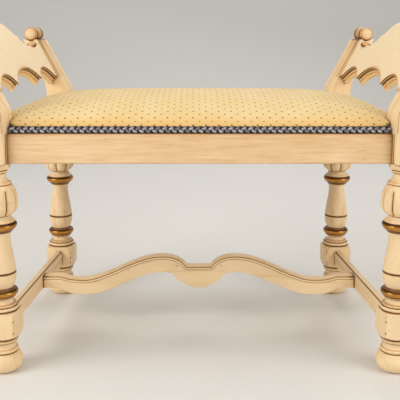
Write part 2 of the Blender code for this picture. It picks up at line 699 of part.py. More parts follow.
def corner_block(end, rail, side, board):
    """A block in the corner of the frame, screwed to both rails and up into the seat board."""
    facing = inward(end)
    frame = post_frame(end)
    near_y = -facing * (AXIS_DEPTH / 2.0 - RAIL_THICKNESS / 2.0 - CLEARANCE)
    past_post = (frame @ Vector((-POST_WIDTH / 2.0, facing * (POST_DEPTH / 2.0 + CLEARANCE), 0.0))).y
    past_post += facing * CORNER_NOTCH
    far_y = near_y + facing * CORNER_SIDE
    at_post = -POST_WIDTH / 2.0 - CLEARANCE
    at_rail = -RAIL_THICKNESS / 2.0 - CLEARANCE
    inner_x = line_x(frame, at_post, near_y) - CORNER_SIDE
    corners = (
        (line_x(frame, at_post, near_y), near_y), (line_x(frame, at_post, past_post), past_post),
        (line_x(frame, at_rail, past_post), past_post), (line_x(frame, at_rail, far_y), far_y),
        (line_x(frame, at_rail, far_y) - CORNER_LAND, far_y), (inner_x, near_y + facing * CORNER_LAND),
        (inner_x, near_y),
    )
    high = RAIL_HIGH - CLEARANCE
    made = prism(f"corner_block_{end}_right", corners, CORNER_LOW, high, Matrix.Identity(4), "beech")
    middle = (CORNER_LOW + high) / 2.0
    recess = SCREW_HEAD_RADIUS + 4.0 * CLEARANCE
    to_rail = Matrix.Rotation(facing * math.pi / 2.0, 4, "X")
    at_rail_screw = (inner_x + SCREW_BITE, near_y + facing * SCREW_GRIP, middle - SCREW_STAGGER)
    rail_spot = Matrix.Translation(at_rail_screw) @ to_rail
    along = frame.to_3x3().col[1]
    side_spot = frame @ Matrix.Rotation(math.pi / 2.0, 4, "Y")
    at_side = Vector((line_x(frame, at_rail, far_y), far_y, middle + SCREW_STAGGER))
    at_side -= along * facing * SCREW_BITE
    side_spot.translation = at_side - frame.to_3x3().col[0] * SCREW_GRIP
    up_x = line_x(frame, at_post, near_y) - SEAT_SCREW_IN
    up_spot = Matrix.Translation((up_x, near_y + facing * SEAT_SCREW_BACK, CORNER_LOW))
    for spot in (rail_spot, side_spot):
        cut(made, rod("recess", ((-CORNER_SIDE, recess), (0.0, recess)), 12, spot))
    fasten(f"rail_screw_{end}_right", rail_spot, RAIL_SCREW_LENGTH, made, rail)
    fasten(f"side_screw_{end}_right", side_spot, RAIL_SCREW_LENGTH, made, side)
    fasten(f"seat_screw_{end}_right", up_spot, SEAT_SCREW_LENGTH, made, board)
    return made


def main():
    clear_scene()
    board = seat()
    side = side_rail()
    side_stretcher()
    arm_panel()
    cross_stretcher()
    for end in ("front", "rear"):
        leg(end)
        post(end)
        scroll(end)
        corner_block(end, end_rail(end), side, board)
    centred = Matrix.Translation((0.0, CENTRE_SHIFT, 0.0))
    for made in list(bpy.context.scene.collection.objects):
        made.matrix_world = centred @ made.matrix_world
        if "_right" in made.name:
            mirrored(made, made.name.replace("_right", "_left"))


if __name__ == "__main__":
    main()
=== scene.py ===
"""Vanity bench: painted wood, dotted seat fabric and a plaited cord, built as surfaces around the fixed frame."""

import math

import bpy
import numpy as np
from bpy.props import FloatProperty, FloatVectorProperty, IntProperty, PointerProperty
from bpy.types import Operator, Panel, PropertyGroup
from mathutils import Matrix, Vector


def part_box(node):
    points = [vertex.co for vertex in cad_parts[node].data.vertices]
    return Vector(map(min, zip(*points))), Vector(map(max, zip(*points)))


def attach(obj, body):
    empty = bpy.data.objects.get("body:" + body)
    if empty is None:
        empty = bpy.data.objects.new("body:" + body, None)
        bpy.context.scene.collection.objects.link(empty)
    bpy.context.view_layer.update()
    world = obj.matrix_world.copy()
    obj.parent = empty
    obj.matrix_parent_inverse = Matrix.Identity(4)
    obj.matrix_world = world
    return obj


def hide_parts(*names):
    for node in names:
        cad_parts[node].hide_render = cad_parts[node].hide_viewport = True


bl_info = {
    "name": "Vanity Bench",
    "version": (1, 0, 0),
    "blender": (4, 5, 0),
    "location": "View3D > Sidebar > Bench",
    "description": "Dresses the packed bench in painted wood, dotted fabric and plaited cord",
    "category": "Object",
}

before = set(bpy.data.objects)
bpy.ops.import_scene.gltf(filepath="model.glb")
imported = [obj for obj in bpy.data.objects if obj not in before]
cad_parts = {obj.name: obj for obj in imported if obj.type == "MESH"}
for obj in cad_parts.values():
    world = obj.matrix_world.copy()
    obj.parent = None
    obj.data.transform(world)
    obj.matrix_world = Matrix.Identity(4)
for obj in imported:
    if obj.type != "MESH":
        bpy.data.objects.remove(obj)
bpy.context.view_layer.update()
SIDES = ("right", "left")
ENDS = ("front", "rear")
NO_TRIANGLES = np.empty((0, 3), int)

# Plan of the solids: leg axes from their boxes, and the posts a little off those axes
LEG_AXIS = {end: np.mean(np.array(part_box(f"leg_{end}_right")), axis=0)[:2] for end in ENDS}
POST_SHIFT = {"front": 0.0048, "rear": -0.0050}
POST_WIDTH = 0.0460
POST_DEPTH = 0.0520
POST_LOW = 0.3711
RAIL_HIGH = 0.4225
KNEE_Z = 0.4605
KNEE_EASE = 0.0060
POST_HIGH = 0.5700
POST_TOP_EASE = 0.0012
FLARE = 0.545
LEAN = math.atan(FLARE)
BACK_CURVE_RADIUS = 0.115
BACK_CURVE_LOW = 0.4475
CLEARANCE = 0.0003

# Scroll on each post: radius, height and distance out of its middle, and half its length
ROLL_RADIUS = 0.0144
ROLL_Z = 0.5810
ROLL_OUT = -POST_WIDTH / 2.0 + (ROLL_Z - KNEE_Z) * FLARE + 0.0125
ROLL_HALF = POST_DEPTH / 2.0 + 0.0045

# Arm panel
PANEL_THICKNESS = 0.0210
PANEL_RECESS = 0.0025
SOFFIT_DROP = 0.0060
CREST_EASE = 0.0048

# Rails and stretchers
RAIL_THICKNESS = 0.0220
STRETCHER_HIGH = 0.1025
STRETCHER_THICKNESS = 0.0180
STRETCHER_MIDDLE = 0.0865
BLOCK_LOW = 0.0634
BLOCK_HIGH = 0.1128
CROSS_THICKNESS = 0.0200

# Seat
CORD_RADIUS = 0.0064
CORD_PROUD = 0.0030
DRAWN_IN = 0.0072
CORNER_EASE = 0.0040
SEAT_FOOT = 2.0 * CORD_RADIUS - 0.0006
SEAT_INSET = 0.0015
SEAT_BULGE = 0.0052
SEAT_WALL_OUT = -0.0005
SEAT_WALL_TOP_OUT = -0.0065
SEAT_RIM_OUT = -0.0046
EDGE_SHARE = 0.49
SIDE_WALL_SHARE = 0.36
SIDE_WALL_FADE = 0.0045
SIDE_SLOPE_FADE = 0.048
TIGHTER_ROLL = 0.62
TIGHTENS_OVER = 0.075
STUFFING_CELL = 0.0050
CLOTH_FRAMES = 20

# Rings of the seat behind the cord: distance out from the cord's path, and height above the rails
SEAT_FOOT_RINGS = (
    (-DRAWN_IN, 0.0003), (-DRAWN_IN, 0.0060), (-DRAWN_IN + 0.0006, 0.0094), (-0.0036, 0.0114),
)

# Strands of the cord: how far they swing, half their thickness, and how pale each is
SWING_UP = 0.0033
SWING_OUT = 0.0019
STRAND_TALL = 0.0029
STRAND_DEEP = 0.0024
STRAND_SHADES = (1.0, 0.85, 0.42)

# Leg from the floor up, in runs that meet at crisp corners: height and radius
LEG_RUNS = (
    ((0.0000, 0.0150), (0.0004, 0.0178), (0.0032, 0.0236), (0.0082, 0.0286), (0.0140, 0.0312), (0.0195, 0.0316),
     (0.0260, 0.0306), (0.0310, 0.0281), (0.0345, 0.0246), (0.0360, 0.0224)),
    ((0.0360, 0.0222), (0.0374, 0.0238), (0.0396, 0.0246), (0.0418, 0.0240), (0.0430, 0.0222)),
    ((0.0430, 0.0214), (0.0450, 0.0198), (0.0476, 0.0193), (0.0506, 0.0200), (0.0530, 0.0218), (0.0543, 0.0232)),
    ((0.0543, 0.0224), (0.0560, 0.0240), (0.0588, 0.0250), (0.0616, 0.0243), (0.0632, 0.0230)),
    ((0.0634, 0.0245), (0.0645, 0.0280), (0.0670, 0.0325), (0.0700, 0.0365), (0.0725, 0.0400), (0.0800, 0.0405),
     (0.0880, 0.0405), (0.0960, 0.0405), (0.1045, 0.0400), (0.1070, 0.0365), (0.1095, 0.0320), (0.1115, 0.0285),
     (0.1128, 0.0268)),
    ((0.1129, 0.0258), (0.1142, 0.0270), (0.1166, 0.0274), (0.1189, 0.0266), (0.1200, 0.0250)),
    ((0.1201, 0.0236), (0.1214, 0.0240), (0.1230, 0.0234), (0.1238, 0.0220)),
    ((0.1239, 0.0204), (0.1258, 0.0178), (0.1290, 0.0170), (0.1320, 0.0180), (0.1340, 0.0206)),
    ((0.1341, 0.0216), (0.1356, 0.0227), (0.1372, 0.0231), (0.1380, 0.0228)),
    ((0.1381, 0.0238), (0.1406, 0.0265), (0.1437, 0.0273), (0.1470, 0.0263), (0.1492, 0.0236)),
    ((0.1493, 0.0226), (0.1512, 0.0210), (0.1530, 0.0197)),
    ((0.1531, 0.0195), (0.1560, 0.0207), (0.1600, 0.0225), (0.1670, 0.0242), (0.1740, 0.0248), (0.1786, 0.0247)),
    ((0.1786, 0.0247), (0.1795, 0.0234), (0.1804, 0.0247)),
    ((0.1804, 0.0247), (0.1900, 0.0237), (0.2060, 0.0214), (0.2220, 0.0186), (0.2380, 0.0167), (0.2460, 0.0172),
     (0.2520, 0.0198)),
    ((0.2521, 0.0206), (0.2536, 0.0222), (0.2550, 0.0228)),
    ((0.2551, 0.0234), (0.2580, 0.0268), (0.2625, 0.0291), (0.2660, 0.0284), (0.2680, 0.0262)),
    ((0.2681, 0.0248), (0.2687, 0.0246)),
    ((0.2688, 0.0262), (0.2710, 0.0251), (0.2740, 0.0217), (0.2770, 0.0190), (0.2790, 0.0182), (0.2804, 0.0186)),
    ((0.2805, 0.0200), (0.2822, 0.0226), (0.2850, 0.0266), (0.2885, 0.0294), (0.2930, 0.0310), (0.2990, 0.0318),
     (0.3050, 0.0319), (0.3120, 0.0313), (0.3200, 0.0296), (0.3260, 0.0272), (0.3310, 0.0242), (0.3345, 0.0214)),
    ((0.3346, 0.0206), (0.3356, 0.0216), (0.3370, 0.0218), (0.3384, 0.0210), (0.3390, 0.0196)),
    ((0.3391, 0.0186), (0.3420, 0.0158), (0.3460, 0.0134), (0.3500, 0.0129), (0.3540, 0.0136)),
    ((0.3541, 0.0142), (0.3555, 0.0156), (0.3570, 0.0159), (0.3585, 0.0152), (0.3590, 0.0144)),
    ((0.3591, 0.0154), (0.3610, 0.0186), (0.3635, 0.0202), (0.3660, 0.0206), (0.3690, 0.0202), (0.3708, 0.0196)),
)
GILT_BANDS = ((0.1381, 0.1492), (0.2551, 0.2680))
GLAZE_LINES = (
    (0.0360, 0.8), (0.0430, 0.4), (0.0543, 0.6), (0.0633, 1.2), (0.1128, 1.2), (0.1200, 0.6), (0.1238, 0.4),
    (0.1341, 0.8), (0.1380, 1.2), (0.1492, 1.2), (0.1520, 0.8), (0.1795, 1.5), (0.2520, 1.0), (0.2550, 1.2),
    (0.2684, 1.2), (0.2804, 0.9), (0.3346, 0.6), (0.3390, 0.25), (0.3541, 0.7), (0.3590, 0.7),
)
UNDER_BLOCK = 0.0612
BLOCK_NICKS = (0.0985, 0.0775)
BLOCK_NICK_TURN = 1.25 * math.pi
SOFT_CORNER = 26.0
LOBES = 8
LOBE_RISE = (0.2810, 0.2835)
LOBE_FALL = (0.3275, 0.3340)

# Half of a scroll from its tip to its middle: distance from the tip, and radius
ROLL_RUNS = (
    ((0.0000, 0.0002), (0.0002, 0.0026), (0.0009, 0.0058), (0.0022, 0.0090), (0.0042, 0.0120), (0.0068, 0.0138),
     (0.0092, 0.0143), (0.0112, 0.0138), (0.0124, 0.0126)),
    ((0.0124, 0.0126), (0.0136, 0.0108), (0.0150, 0.0103), (0.0166, 0.0112)),
    ((0.0166, 0.0126), (0.0182, 0.0136), (0.0210, 0.0139), (0.0250, 0.0140), (ROLL_HALF, 0.0141)),
)

# Arm panel edges from the middle to a post: share of the way, and height above the knee
CREST = (
    (0.000, 0.1475), (0.072, 0.1462), (0.133, 0.1425), (0.199, 0.1362), (0.259, 0.1285), (0.302, 0.1228),
    (0.320, 0.1222), (0.346, 0.1219), (0.361, 0.1186), (0.398, 0.1120), (0.458, 0.1064), (0.530, 0.1022),
    (0.610, 0.0996), (0.690, 0.0978), (0.735, 0.0966), (0.790, 0.0962), (0.845, 0.0972), (0.880, 0.1020),
    (0.905, 0.1072), (0.930, 0.1086), (1.000, 0.1088),
)
ARCHES = (
    ((0.000, 0.0595), (0.084, 0.0587), (0.169, 0.0560), (0.253, 0.0510), (0.325, 0.0440), (0.376, 0.0374),
     (0.391, 0.0347)),
    ((0.391, 0.0347), (0.403, 0.0345), (0.416, 0.0347)),
    ((0.416, 0.0347), (0.428, 0.0385), (0.482, 0.0460), (0.566, 0.0525), (0.663, 0.0545), (0.759, 0.0510),
     (0.855, 0.0425), (0.928, 0.0325), (1.000, 0.0285)),
)
ARCH_STEPS = (66, 7, 108)
BEAD_SHARE = 0.795
BEAD_RISE = 0.1024
BEAD_RADIUS = 0.0074
BEAD_HALF = 0.0135
BEAD_WAIST = 1.9

# Cross stretcher edges from the middle to an end, in runs: share of the way, and height from the stretchers' middle
CROSS_TOP = (
    ((0.000, 0.0332), (0.040, 0.0332), (0.075, 0.0332)),
    ((0.075, 0.0332), (0.086, 0.0376), (0.099, 0.0418), (0.115, 0.0452), (0.136, 0.0492), (0.167, 0.0526),
     (0.194, 0.0542), (0.220, 0.0549)),
    ((0.220, 0.0549), (0.250, 0.0546), (0.303, 0.0525), (0.376, 0.0460), (0.462, 0.0350), (0.548, 0.0225),
     (0.631, 0.0120), (0.694, 0.0067), (0.752, 0.0055), (0.815, 0.0077), (0.860, 0.0115), (0.895, 0.0130),
     (1.000, 0.0130)),
)
CROSS_BOTTOM = (
    ((0.000, -0.0134), (0.040, -0.0116), (0.070, -0.0072), (0.090, -0.0034), (0.104, -0.0002)),
    ((0.104, -0.0002), (0.122, 0.0010), (0.132, 0.0026), (0.139, 0.0052), (0.149, 0.0098), (0.163, 0.0148),
     (0.180, 0.0180), (0.200, 0.0194), (0.222, 0.0198)),
    ((0.222, 0.0198), (0.269, 0.0188), (0.318, 0.0158), (0.372, 0.0098), (0.410, 0.0046), (0.484, -0.0055),
     (0.573, -0.0175), (0.656, -0.0253), (0.745, -0.0273), (0.815, -0.0247), (0.866, -0.0175), (0.895, -0.0138),
     (1.000, -0.0138)),
)
CROSS_STEPS = (40, 70, 215)
CROSS_Y = 0.0190

# Soffit of an arch from the panel's inner face outwards: share of the thickness, hollow, and glaze
SOFFIT = (
    (0.000, 0.0000, 0.70), (0.014, 0.0004, 1.20), (0.045, 0.0022, 1.50), (0.085, 0.0022, 1.40), (0.105, 0.0005, 0.60),
    (0.130, 0.0000, 0.18), (0.165, 0.0006, 0.50), (0.220, 0.0022, 0.98), (0.300, 0.0028, 0.92), (0.370, 0.0018, 0.66),
    (0.420, 0.0004, 0.34), (0.460, 0.0000, 0.26), (0.500, 0.0005, 0.42), (0.560, 0.0013, 0.58), (0.630, 0.0009, 0.50),
    (0.690, 0.0002, 0.34), (0.780, -0.0004, 0.20), (0.900, 0.0000, 0.06), (1.000, 0.0010, 0.25),
)

# Face of the cross stretcher below its top edge: distance down the face, hollow, and glaze
CROSS_FACE = (
    (0.0000, 0.0040, 0.14), (0.0003, 0.0022, 0.24), (0.0009, 0.0008, 0.36), (0.0021, 0.0004, 0.44),
    (0.0030, 0.0011, 0.80), (0.0037, 0.0014, 0.88), (0.0044, 0.0008, 0.44), (0.0052, 0.0000, -0.10),
    (0.0064, -0.0003, -0.40), (0.0073, 0.0001, 0.00), (0.0080, 0.0010, 1.20), (0.0087, 0.0001, 0.20),
    (0.0096, 0.0000, 0.00), (0.0125, 0.0000, -0.10),
)
CROSS_EASE = ((0.0018, 0.0), (0.0006, 0.0006), (0.0, 0.0022))

# Glaze spots of the cross stretcher, a shade beside its middle and two nicks: amount, distance from the middle and
# its spread, height and its spread
CROSS_SPOTS = (
    (0.30, 0.0120, 0.0140, -0.0060, 0.0060), (1.0, 0.0695, 0.0009, 0.0205, 0.0030),
    (1.0, 0.0445, 0.0046, 0.0336, 0.0013),
)

# Section of a side stretcher round from its outer face: side, distance in from that face and down from the top, glaze
STRETCHER_SECTION = (
    (1, 0.0000, 0.0305, 0.10), (1, 0.0000, 0.0082, 0.0), (1, 0.0006, 0.0055, 0.0), (1, 0.0022, 0.0030, 0.0),
    (1, 0.0044, 0.0012, 0.0), (1, 0.0072, 0.0002, 0.0), (1, 0.0100, 0.0000, 0.0), (-1, 0.0042, 0.0000, 0.10),
    (-1, 0.0032, 0.0002, 0.4), (-1, 0.0027, 0.0012, 1.0), (-1, 0.0020, 0.0020, 1.0), (-1, 0.0012, 0.0022, 0.5),
    (-1, 0.0003, 0.0026, 0.2), (-1, 0.0000, 0.0036, 0.15), (-1, 0.0000, 0.0090, 0.22), (-1, 0.0000, 0.0140, 0.26),
    (-1, 0.0000, 0.0305, 0.26), (-1, 0.0015, 0.0320, 0.2), (1, 0.0015, 0.0320, 0.1),
)

# Glaze in a joint or turned line: amount and width of its dark line, and of the wash beside that
TURNED_LINE = (1.0, 0.0009, 0.36, 0.0034)
LOBE_GROOVE = (0.48, 0.12, 0.52, 0.50)
PANEL_JOINT = (1.20, 0.0013, 0.30, 0.008)
RAIL_JOINT = (1.0, 0.0016, 0.35, 0.008)
STRETCHER_JOINT = (0.9, 0.0016, 0.30, 0.010)
CROSS_JOINT = (0.95, 0.0022, 0.45, 0.012)

# Shift of the grain, so that no two kinds of piece show the same streaks
GRAIN_SHIFT = {"leg": 3.0, "end_rail": 5.0, "side_rail": 9.0, "stretcher": 13.0, "cross": 17.0}

# Steps along the shapes, and round them
LEG_STEPS = 4
POST_STEPS = 110
POST_SECTION_STEPS = (22, 7)
ROLL_STEPS = 6
ROLL_TURN_STEPS = 64
CREST_STEPS = 200
SOFFIT_STEPS = 50
PANEL_FACE_STEPS = 12
BEAD_STEPS = 45
BEAD_TURN_STEPS = 48
RAIL_SECTION_STEPS = (10, 6)
END_RAIL_STEPS = 240
SIDE_RAIL_STEPS = 140
STRETCHER_STEPS = 160
CROSS_FACE_STEPS = 40
CROSS_PLAIN_STEPS = 28
SEAT_STEPS = 460
SEAT_RINGS = 60
PLAIT_STEPS = 30
STRAND_TURN_STEPS = 12

# Stage: the floor's front, its bend into the backdrop and the backdrop's height, and the camera
FLOOR_FRONT = -4.0
FLOOR_HALF_WIDTH = 5.0
BEND_Y = 2.2
BEND_RADIUS = 1.2
BACKDROP_HIGH = 5.0
CAMERA_PLACE = (-0.0077, -1.4240, 0.6146)
CAMERA_TILT = 7.85
LIGHT_AIM = (0.0, 0.0, 0.32)
LIGHT_COLOUR = (1.0, 0.97, 0.92)
WORLD_COLOUR = (1.0, 0.985, 0.96, 1.0)

# Lights: name, place, size and power
LIGHTS = (
    ("key", (-2.1, -1.3, 1.5), 1.5, 42.0), ("fill", (2.1, -1.3, 1.4), 1.6, 31.0),
    ("front", (0.2, -2.9, 1.0), 1.2, 5.0), ("top", (0.0, -0.4, 2.6), 1.6, 11.0), ("back", (0.4, 2.1, 2.0), 1.4, 16.0),
)


class BenchShape(PropertyGroup):
    """Sizes of the dressed bench that a maker would change."""

    block_width: FloatProperty(
        name="Block width", description="Square block at the foot of each leg", default=0.0550, unit="LENGTH"
    )
    lobe_depth: FloatProperty(
        name="Lobe depth", description="Depth of the grooves of the upper vase, as a share of its radius",
        default=0.150, subtype="FACTOR",
    )
    post_edge: FloatProperty(
        name="Post edge", description="Rounding along the edges of the arm posts", default=0.0050, unit="LENGTH"
    )
    rail_edge: FloatProperty(
        name="Rail edge", description="Rounding along the edges of the rails", default=0.0022, unit="LENGTH"
    )
    crown: FloatProperty(
        name="Seat crown", description="Height of the seat's middle above the rails", default=0.0535, unit="LENGTH"
    )
    roll_over: FloatProperty(
        name="Roll over", description="How far in from the front edge the seat keeps rising steeply", default=0.0200,
        unit="LENGTH",
    )
    swell: FloatProperty(
        name="Swell", description="Furthest that the stuffing may push the cover", default=0.0015, unit="LENGTH"
    )
    plait_pitch: FloatProperty(
        name="Plait pitch", description="Length of cord in which a strand swings up and down once", default=0.0336,
        unit="LENGTH",
    )
    dot_spacing: FloatProperty(
        name="Dot spacing", description="Distance between dots in a row of the seat fabric", default=0.0218,
        unit="LENGTH",
    )
    turn_steps: IntProperty(name="Turning steps", description="Points round each turned leg", default=128, min=32)


class BenchColours(PropertyGroup):
    """Colours of the dressed bench."""

    cream: FloatVectorProperty(
        name="Cream paint", description="Body colour of the painted wood", default=(0.86, 0.635, 0.365, 1.0), size=4,
        subtype="COLOR",
    )
    # The glaze and amber wash colours also paint shade: under the scrolls and beads, on the gilt rings, on the posts'
    # inner faces below the knee and along the rail tops under the cord.
    glaze_and_shade: FloatVectorProperty(
        name="Glaze", description="Brown glaze left in hollows and joints", default=(0.110, 0.040, 0.008, 1.0),
        size=4, subtype="COLOR",
    )
    amber: FloatVectorProperty(
        name="Amber wash", description="Thin glaze beside the joints", default=(0.58, 0.285, 0.075, 1.0), size=4,
        subtype="COLOR",
    )
    gilt: FloatVectorProperty(
        name="Gilt", description="Gilding of the turned rings", default=(0.52, 0.245, 0.045, 1.0), size=4,
        subtype="COLOR",
    )
    ground: FloatVectorProperty(
        name="Seat ground", description="Ground of the seat fabric", default=(0.84, 0.630, 0.292, 1.0), size=4,
        subtype="COLOR",
    )
    lining: FloatVectorProperty(
        name="Lining", description="Plain cloth under the seat", default=(0.36, 0.29, 0.19, 1.0), size=4,
        subtype="COLOR",
    )
    slate_dot: FloatVectorProperty(
        name="Slate dot", description="Darker dots of the fabric", default=(0.14, 0.105, 0.065, 1.0), size=4,
        subtype="COLOR",
    )
    rust_dot: FloatVectorProperty(
        name="Rust dot", description="Warmer dots of the fabric", default=(0.27, 0.135, 0.060, 1.0), size=4,
        subtype="COLOR",
    )
    # Navy: the cord's dark yarn, and also the painted shade at the strands' edges and where they pass under each other.
    navy_and_gap_shade: FloatVectorProperty(
        name="Navy strand", description="Dark strands of the cord", default=(0.006, 0.006, 0.014, 1.0), size=4,
        subtype="COLOR",
    )
    silver: FloatVectorProperty(
        name="Grey strand", description="Pale strands of the cord", default=(0.62, 0.57, 0.58, 1.0), size=4,
        subtype="COLOR",
    )
    floor: FloatVectorProperty(
        name="Floor", description="Floor and backdrop", default=(0.80, 0.79, 0.77, 1.0), size=4, subtype="COLOR"
    )

class Side:
    """Plan of the right side by its legs or its posts: origins at both ends and in the middle, the outward and the
    rearward direction, and the length from end to end."""

    def __init__(self, shift):
        self.origin = {end: LEG_AXIS[end] + (shift[end], 0.0) for end in ENDS}
        between = self.origin["rear"] - self.origin["front"]
        self.length = np.linalg.norm(between)
        self.along = between / self.length
        self.outward = np.array([self.along[1], -self.along[0]])
        self.origin["middle"] = (self.origin["front"] + self.origin["rear"]) / 2.0

    def placed(self, start, out, back, up):
        """Points from distances outwards, rearwards and up, measured from an origin on the floor."""
        out, back, up = np.broadcast_arrays(out, back, up)
        plan = self.origin[start] + out[..., None] * self.outward + back[..., None] * self.along
        return np.concatenate([plan, up[..., None]], axis=-1)

    def crossing(self, start, out, y):
        """Where a line along the side, at a distance out from an origin, crosses a depth."""
        x, from_y = self.origin[start] + out * self.outward
        return x + self.along[0] * (y - from_y) / self.along[1]


LEG_SIDE = Side({"front": 0.0, "rear": 0.0})
POST_SIDE = Side(POST_SHIFT)
HALF_BETWEEN_POSTS = (POST_SIDE.length - POST_DEPTH) / 2.0


class Surface:
    """Points, faces and per-point marks of one piece, in metres."""

    def __init__(self, points, quads, triangles, marks):
        self.points = points
        self.quads = quads
        self.triangles = triangles
        self.marks = marks

    def outward(self):
        """Turn every face round if the signed volume of the closed surface is negative."""
        corners = np.concatenate([self.quads[:, [0, 1, 2]], self.quads[:, [0, 2, 3]], self.triangles])
        if np.linalg.det(self.points[corners]).sum() < 0.0:
            self.quads = self.quads[:, ::-1]
            self.triangles = self.triangles[:, ::-1]
        return self

    def mirrored(self):
        """The same piece across the plane x = 0."""
        return Surface(self.points * (-1.0, 1.0, 1.0), self.quads[:, ::-1], self.triangles[:, ::-1], self.marks)

    def joined(self, other):
        """Both surfaces as one piece."""
        start = len(self.points)
        marks = {name: np.concatenate([values, other.marks[name]]) for name, values in self.marks.items()}
        return Surface(
            np.vstack([self.points, other.points]), np.vstack([self.quads, other.quads + start]),
            np.vstack([self.triangles, other.triangles + start]), marks,
        )


def ring_numbers(rings):
    """Numbers of the points, ring by ring, and of the point beside each on its ring."""
    index = np.arange(rings.shape[0] * rings.shape[1]).reshape(rings.shape[:2])
    return index, np.roll(index, -1, axis=1)


def listed(values):
    """Values given ring by ring, as one list."""
    return values.reshape((-1,) + values.shape[2:])


def tube(rings, marks):
    """Faces from each ring to the next, each ring closed on itself, with a fan of triangles at either end."""
    index, beside = ring_numbers(rings)
    quads = np.stack([index[:-1], beside[:-1], beside[1:], index[1:]], axis=-1).reshape(-1, 4)
    poles = np.full((2, index.shape[1]), [[index.size], [index.size + 1]])
    fans = np.stack([[beside[0], index[-1]], [index[0], beside[-1]], poles], axis=-1).reshape(-1, 3)
    points, *capped = (
        np.concatenate([listed(values), values[[0, -1]].mean(axis=1)]) for values in (rings, *marks.values())
    )
    return Surface(points, quads, fans, dict(zip(marks, capped))).outward()


def closed_loop(rings, marks):
    """Faces from each ring to the next, with the last ring joined to the first."""
    index, beside = ring_numbers(rings)
    quads = np.stack([index, beside, np.roll(beside, -1, axis=0), np.roll(index, -1, axis=0)], axis=-1)
    flat = {name: listed(values) for name, values in marks.items()}
    return Surface(listed(rings), quads.reshape(-1, 4), NO_TRIANGLES, flat).outward()


def mesh_of(name, surface):
    """A Blender mesh of a surface, with each mark as a point attribute."""
    mesh = bpy.data.meshes.new(name)
    mesh.vertices.add(len(surface.points))
    mesh.vertices.foreach_set("co", surface.points.astype(np.float32).ravel())
    corners = np.concatenate([surface.quads.ravel(), surface.triangles.ravel()]).astype(np.int32)
    mesh.loops.add(len(corners))
    mesh.loops.foreach_set("vertex_index", corners)
    sizes = np.repeat((4, 3), (len(surface.quads), len(surface.triangles)))
    starts = (np.cumsum(sizes) - sizes).astype(np.int32)
    mesh.polygons.add(len(starts))
    mesh.polygons.foreach_set("loop_start", starts)
    mesh.update(calc_edges=True)
    for mark, values in surface.marks.items():
        add_mark(mesh, mark, values)
    return mesh


def add_mark(mesh, name, values):
    """Store one number, or one vector, for each point of a mesh."""
    kind, field = ("FLOAT", "value") if values.ndim == 1 else ("FLOAT_VECTOR", "vector")
    layer = mesh.attributes.new(name, kind, "POINT")
    layer.data.foreach_set(field, values.astype(np.float32).ravel())


def add_piece(name, mesh, material, nodes, crease=40.0):
    """Link a finished mesh, riding on the frame in place of CAD nodes; faces that meet past the crease angle stay
    crisp."""
    mesh.materials.append(material)
    mesh.shade_smooth()
    mesh.set_sharp_from_angle(angle=math.radians(crease))
    piece = bpy.data.objects.new(name, mesh)
    bpy.context.scene.collection.objects.link(piece)
    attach(piece, "root")
    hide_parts(*nodes)
    return piece


def add_painted(name, surface):
    """A painted piece in place of the CAD node of its name."""
    add_piece(f"{name}_painted", mesh_of(name, surface), painted_wood(), [name])


def add_pair(name, surface):
    """The right-hand painted piece and its mirror image."""
    for side, made in zip(SIDES, (surface, surface.mirrored())):
        add_painted(f"{name}_{side}", made)


def set_values(target, **values):
    """Set several values of a Blender item, and return it."""
    for name, value in values.items():
        setattr(target, name, value)
    return target


# Lines and sections
def smooth_line(points, count):
    """A smooth line through points: each span is the cubic whose end slopes are half the chord of its neighbours."""
    points = np.asarray(points, float)
    ends = np.vstack([2.0 * points[0] - points[1], points, 2.0 * points[-1] - points[-2]])
    place = np.linspace(0.0, len(points) - 1.0, count)
    span = np.minimum(place.astype(int), len(points) - 2)
    share = (place - span)[:, None]
    before, start, stop, after = (ends[span + k] for k in range(4))
    cubic = 3.0 * start - before - 3.0 * stop + after
    square = 2.0 * before - 5.0 * start + 4.0 * stop - after
    return start + 0.5 * share * (stop - before + share * (square + share * cubic))


def runs_line(runs, steps):
    """Several smooth lines, one after the other, with so many steps between given points."""
    return np.vstack([smooth_line(run, (len(run) - 1) * steps + 1) for run in runs])


def chained(lines):
    """Lines that each start where the one before ends, as one line."""
    return np.vstack([line[bool(number):] for number, line in enumerate(lines)])


def both_ways(near):
    """A line given from the middle outwards, as one line from end to end."""
    return np.vstack([(near * (-1.0, 1.0))[:0:-1], near])


def even_steps(line, count, closed=False):
    """Points at even steps along a line, and its length."""
    travelled = np.concatenate([[0.0], np.cumsum(np.linalg.norm(np.diff(line, axis=0), axis=1))])
    steps = np.linspace(0.0, travelled[-1], count, endpoint=not closed)
    return np.column_stack([np.interp(steps, travelled, values) for values in line.T]), travelled[-1]


def unit(vectors):
    """Vectors scaled to a length of one."""
    return vectors / np.linalg.norm(vectors, axis=1)[:, None]


def right_of(directions):
    """Directions in a plane, turned a quarter to the right."""
    return np.column_stack([directions[:, 1], -directions[:, 0]])


def full_turn(steps):
    """Even angles round one turn, as one row."""
    return np.linspace(0.0, 2.0 * math.pi, steps, endpoint=False)[None, :]


def ramp(values, low, high):
    """0 below low, 1 above high, and a smooth step between."""
    share = np.clip((values - low) / (high - low), 0.0, 1.0)
    return share * share * (3.0 - 2.0 * share)


def bell(distance, width):
    """1 at no distance, dying away over the width on both sides."""
    return np.exp(-((distance / width) ** 2))


def stacked(*values):
    """Values that belong together, spread over all points."""
    return np.stack(np.broadcast_arrays(*values), axis=-1)


def wood_marks(grain, glaze_and_shade, edge=0.0, gilt=0.0):
    """The marks that painted wood reads, spread over all points."""
    values = {"glaze_and_shade": glaze_and_shade, "gilt": gilt, "edge": edge}
    return {name: np.broadcast_to(value, grain.shape[:2]) for name, value in values.items()} | {"grain": grain}


def joint_glaze(distance, line, line_width, wash, wash_width):
    """Glaze by the distance from a joint: a dark line, and a weaker wash beside it."""
    return line * bell(distance, line_width) + wash * bell(distance, wash_width)


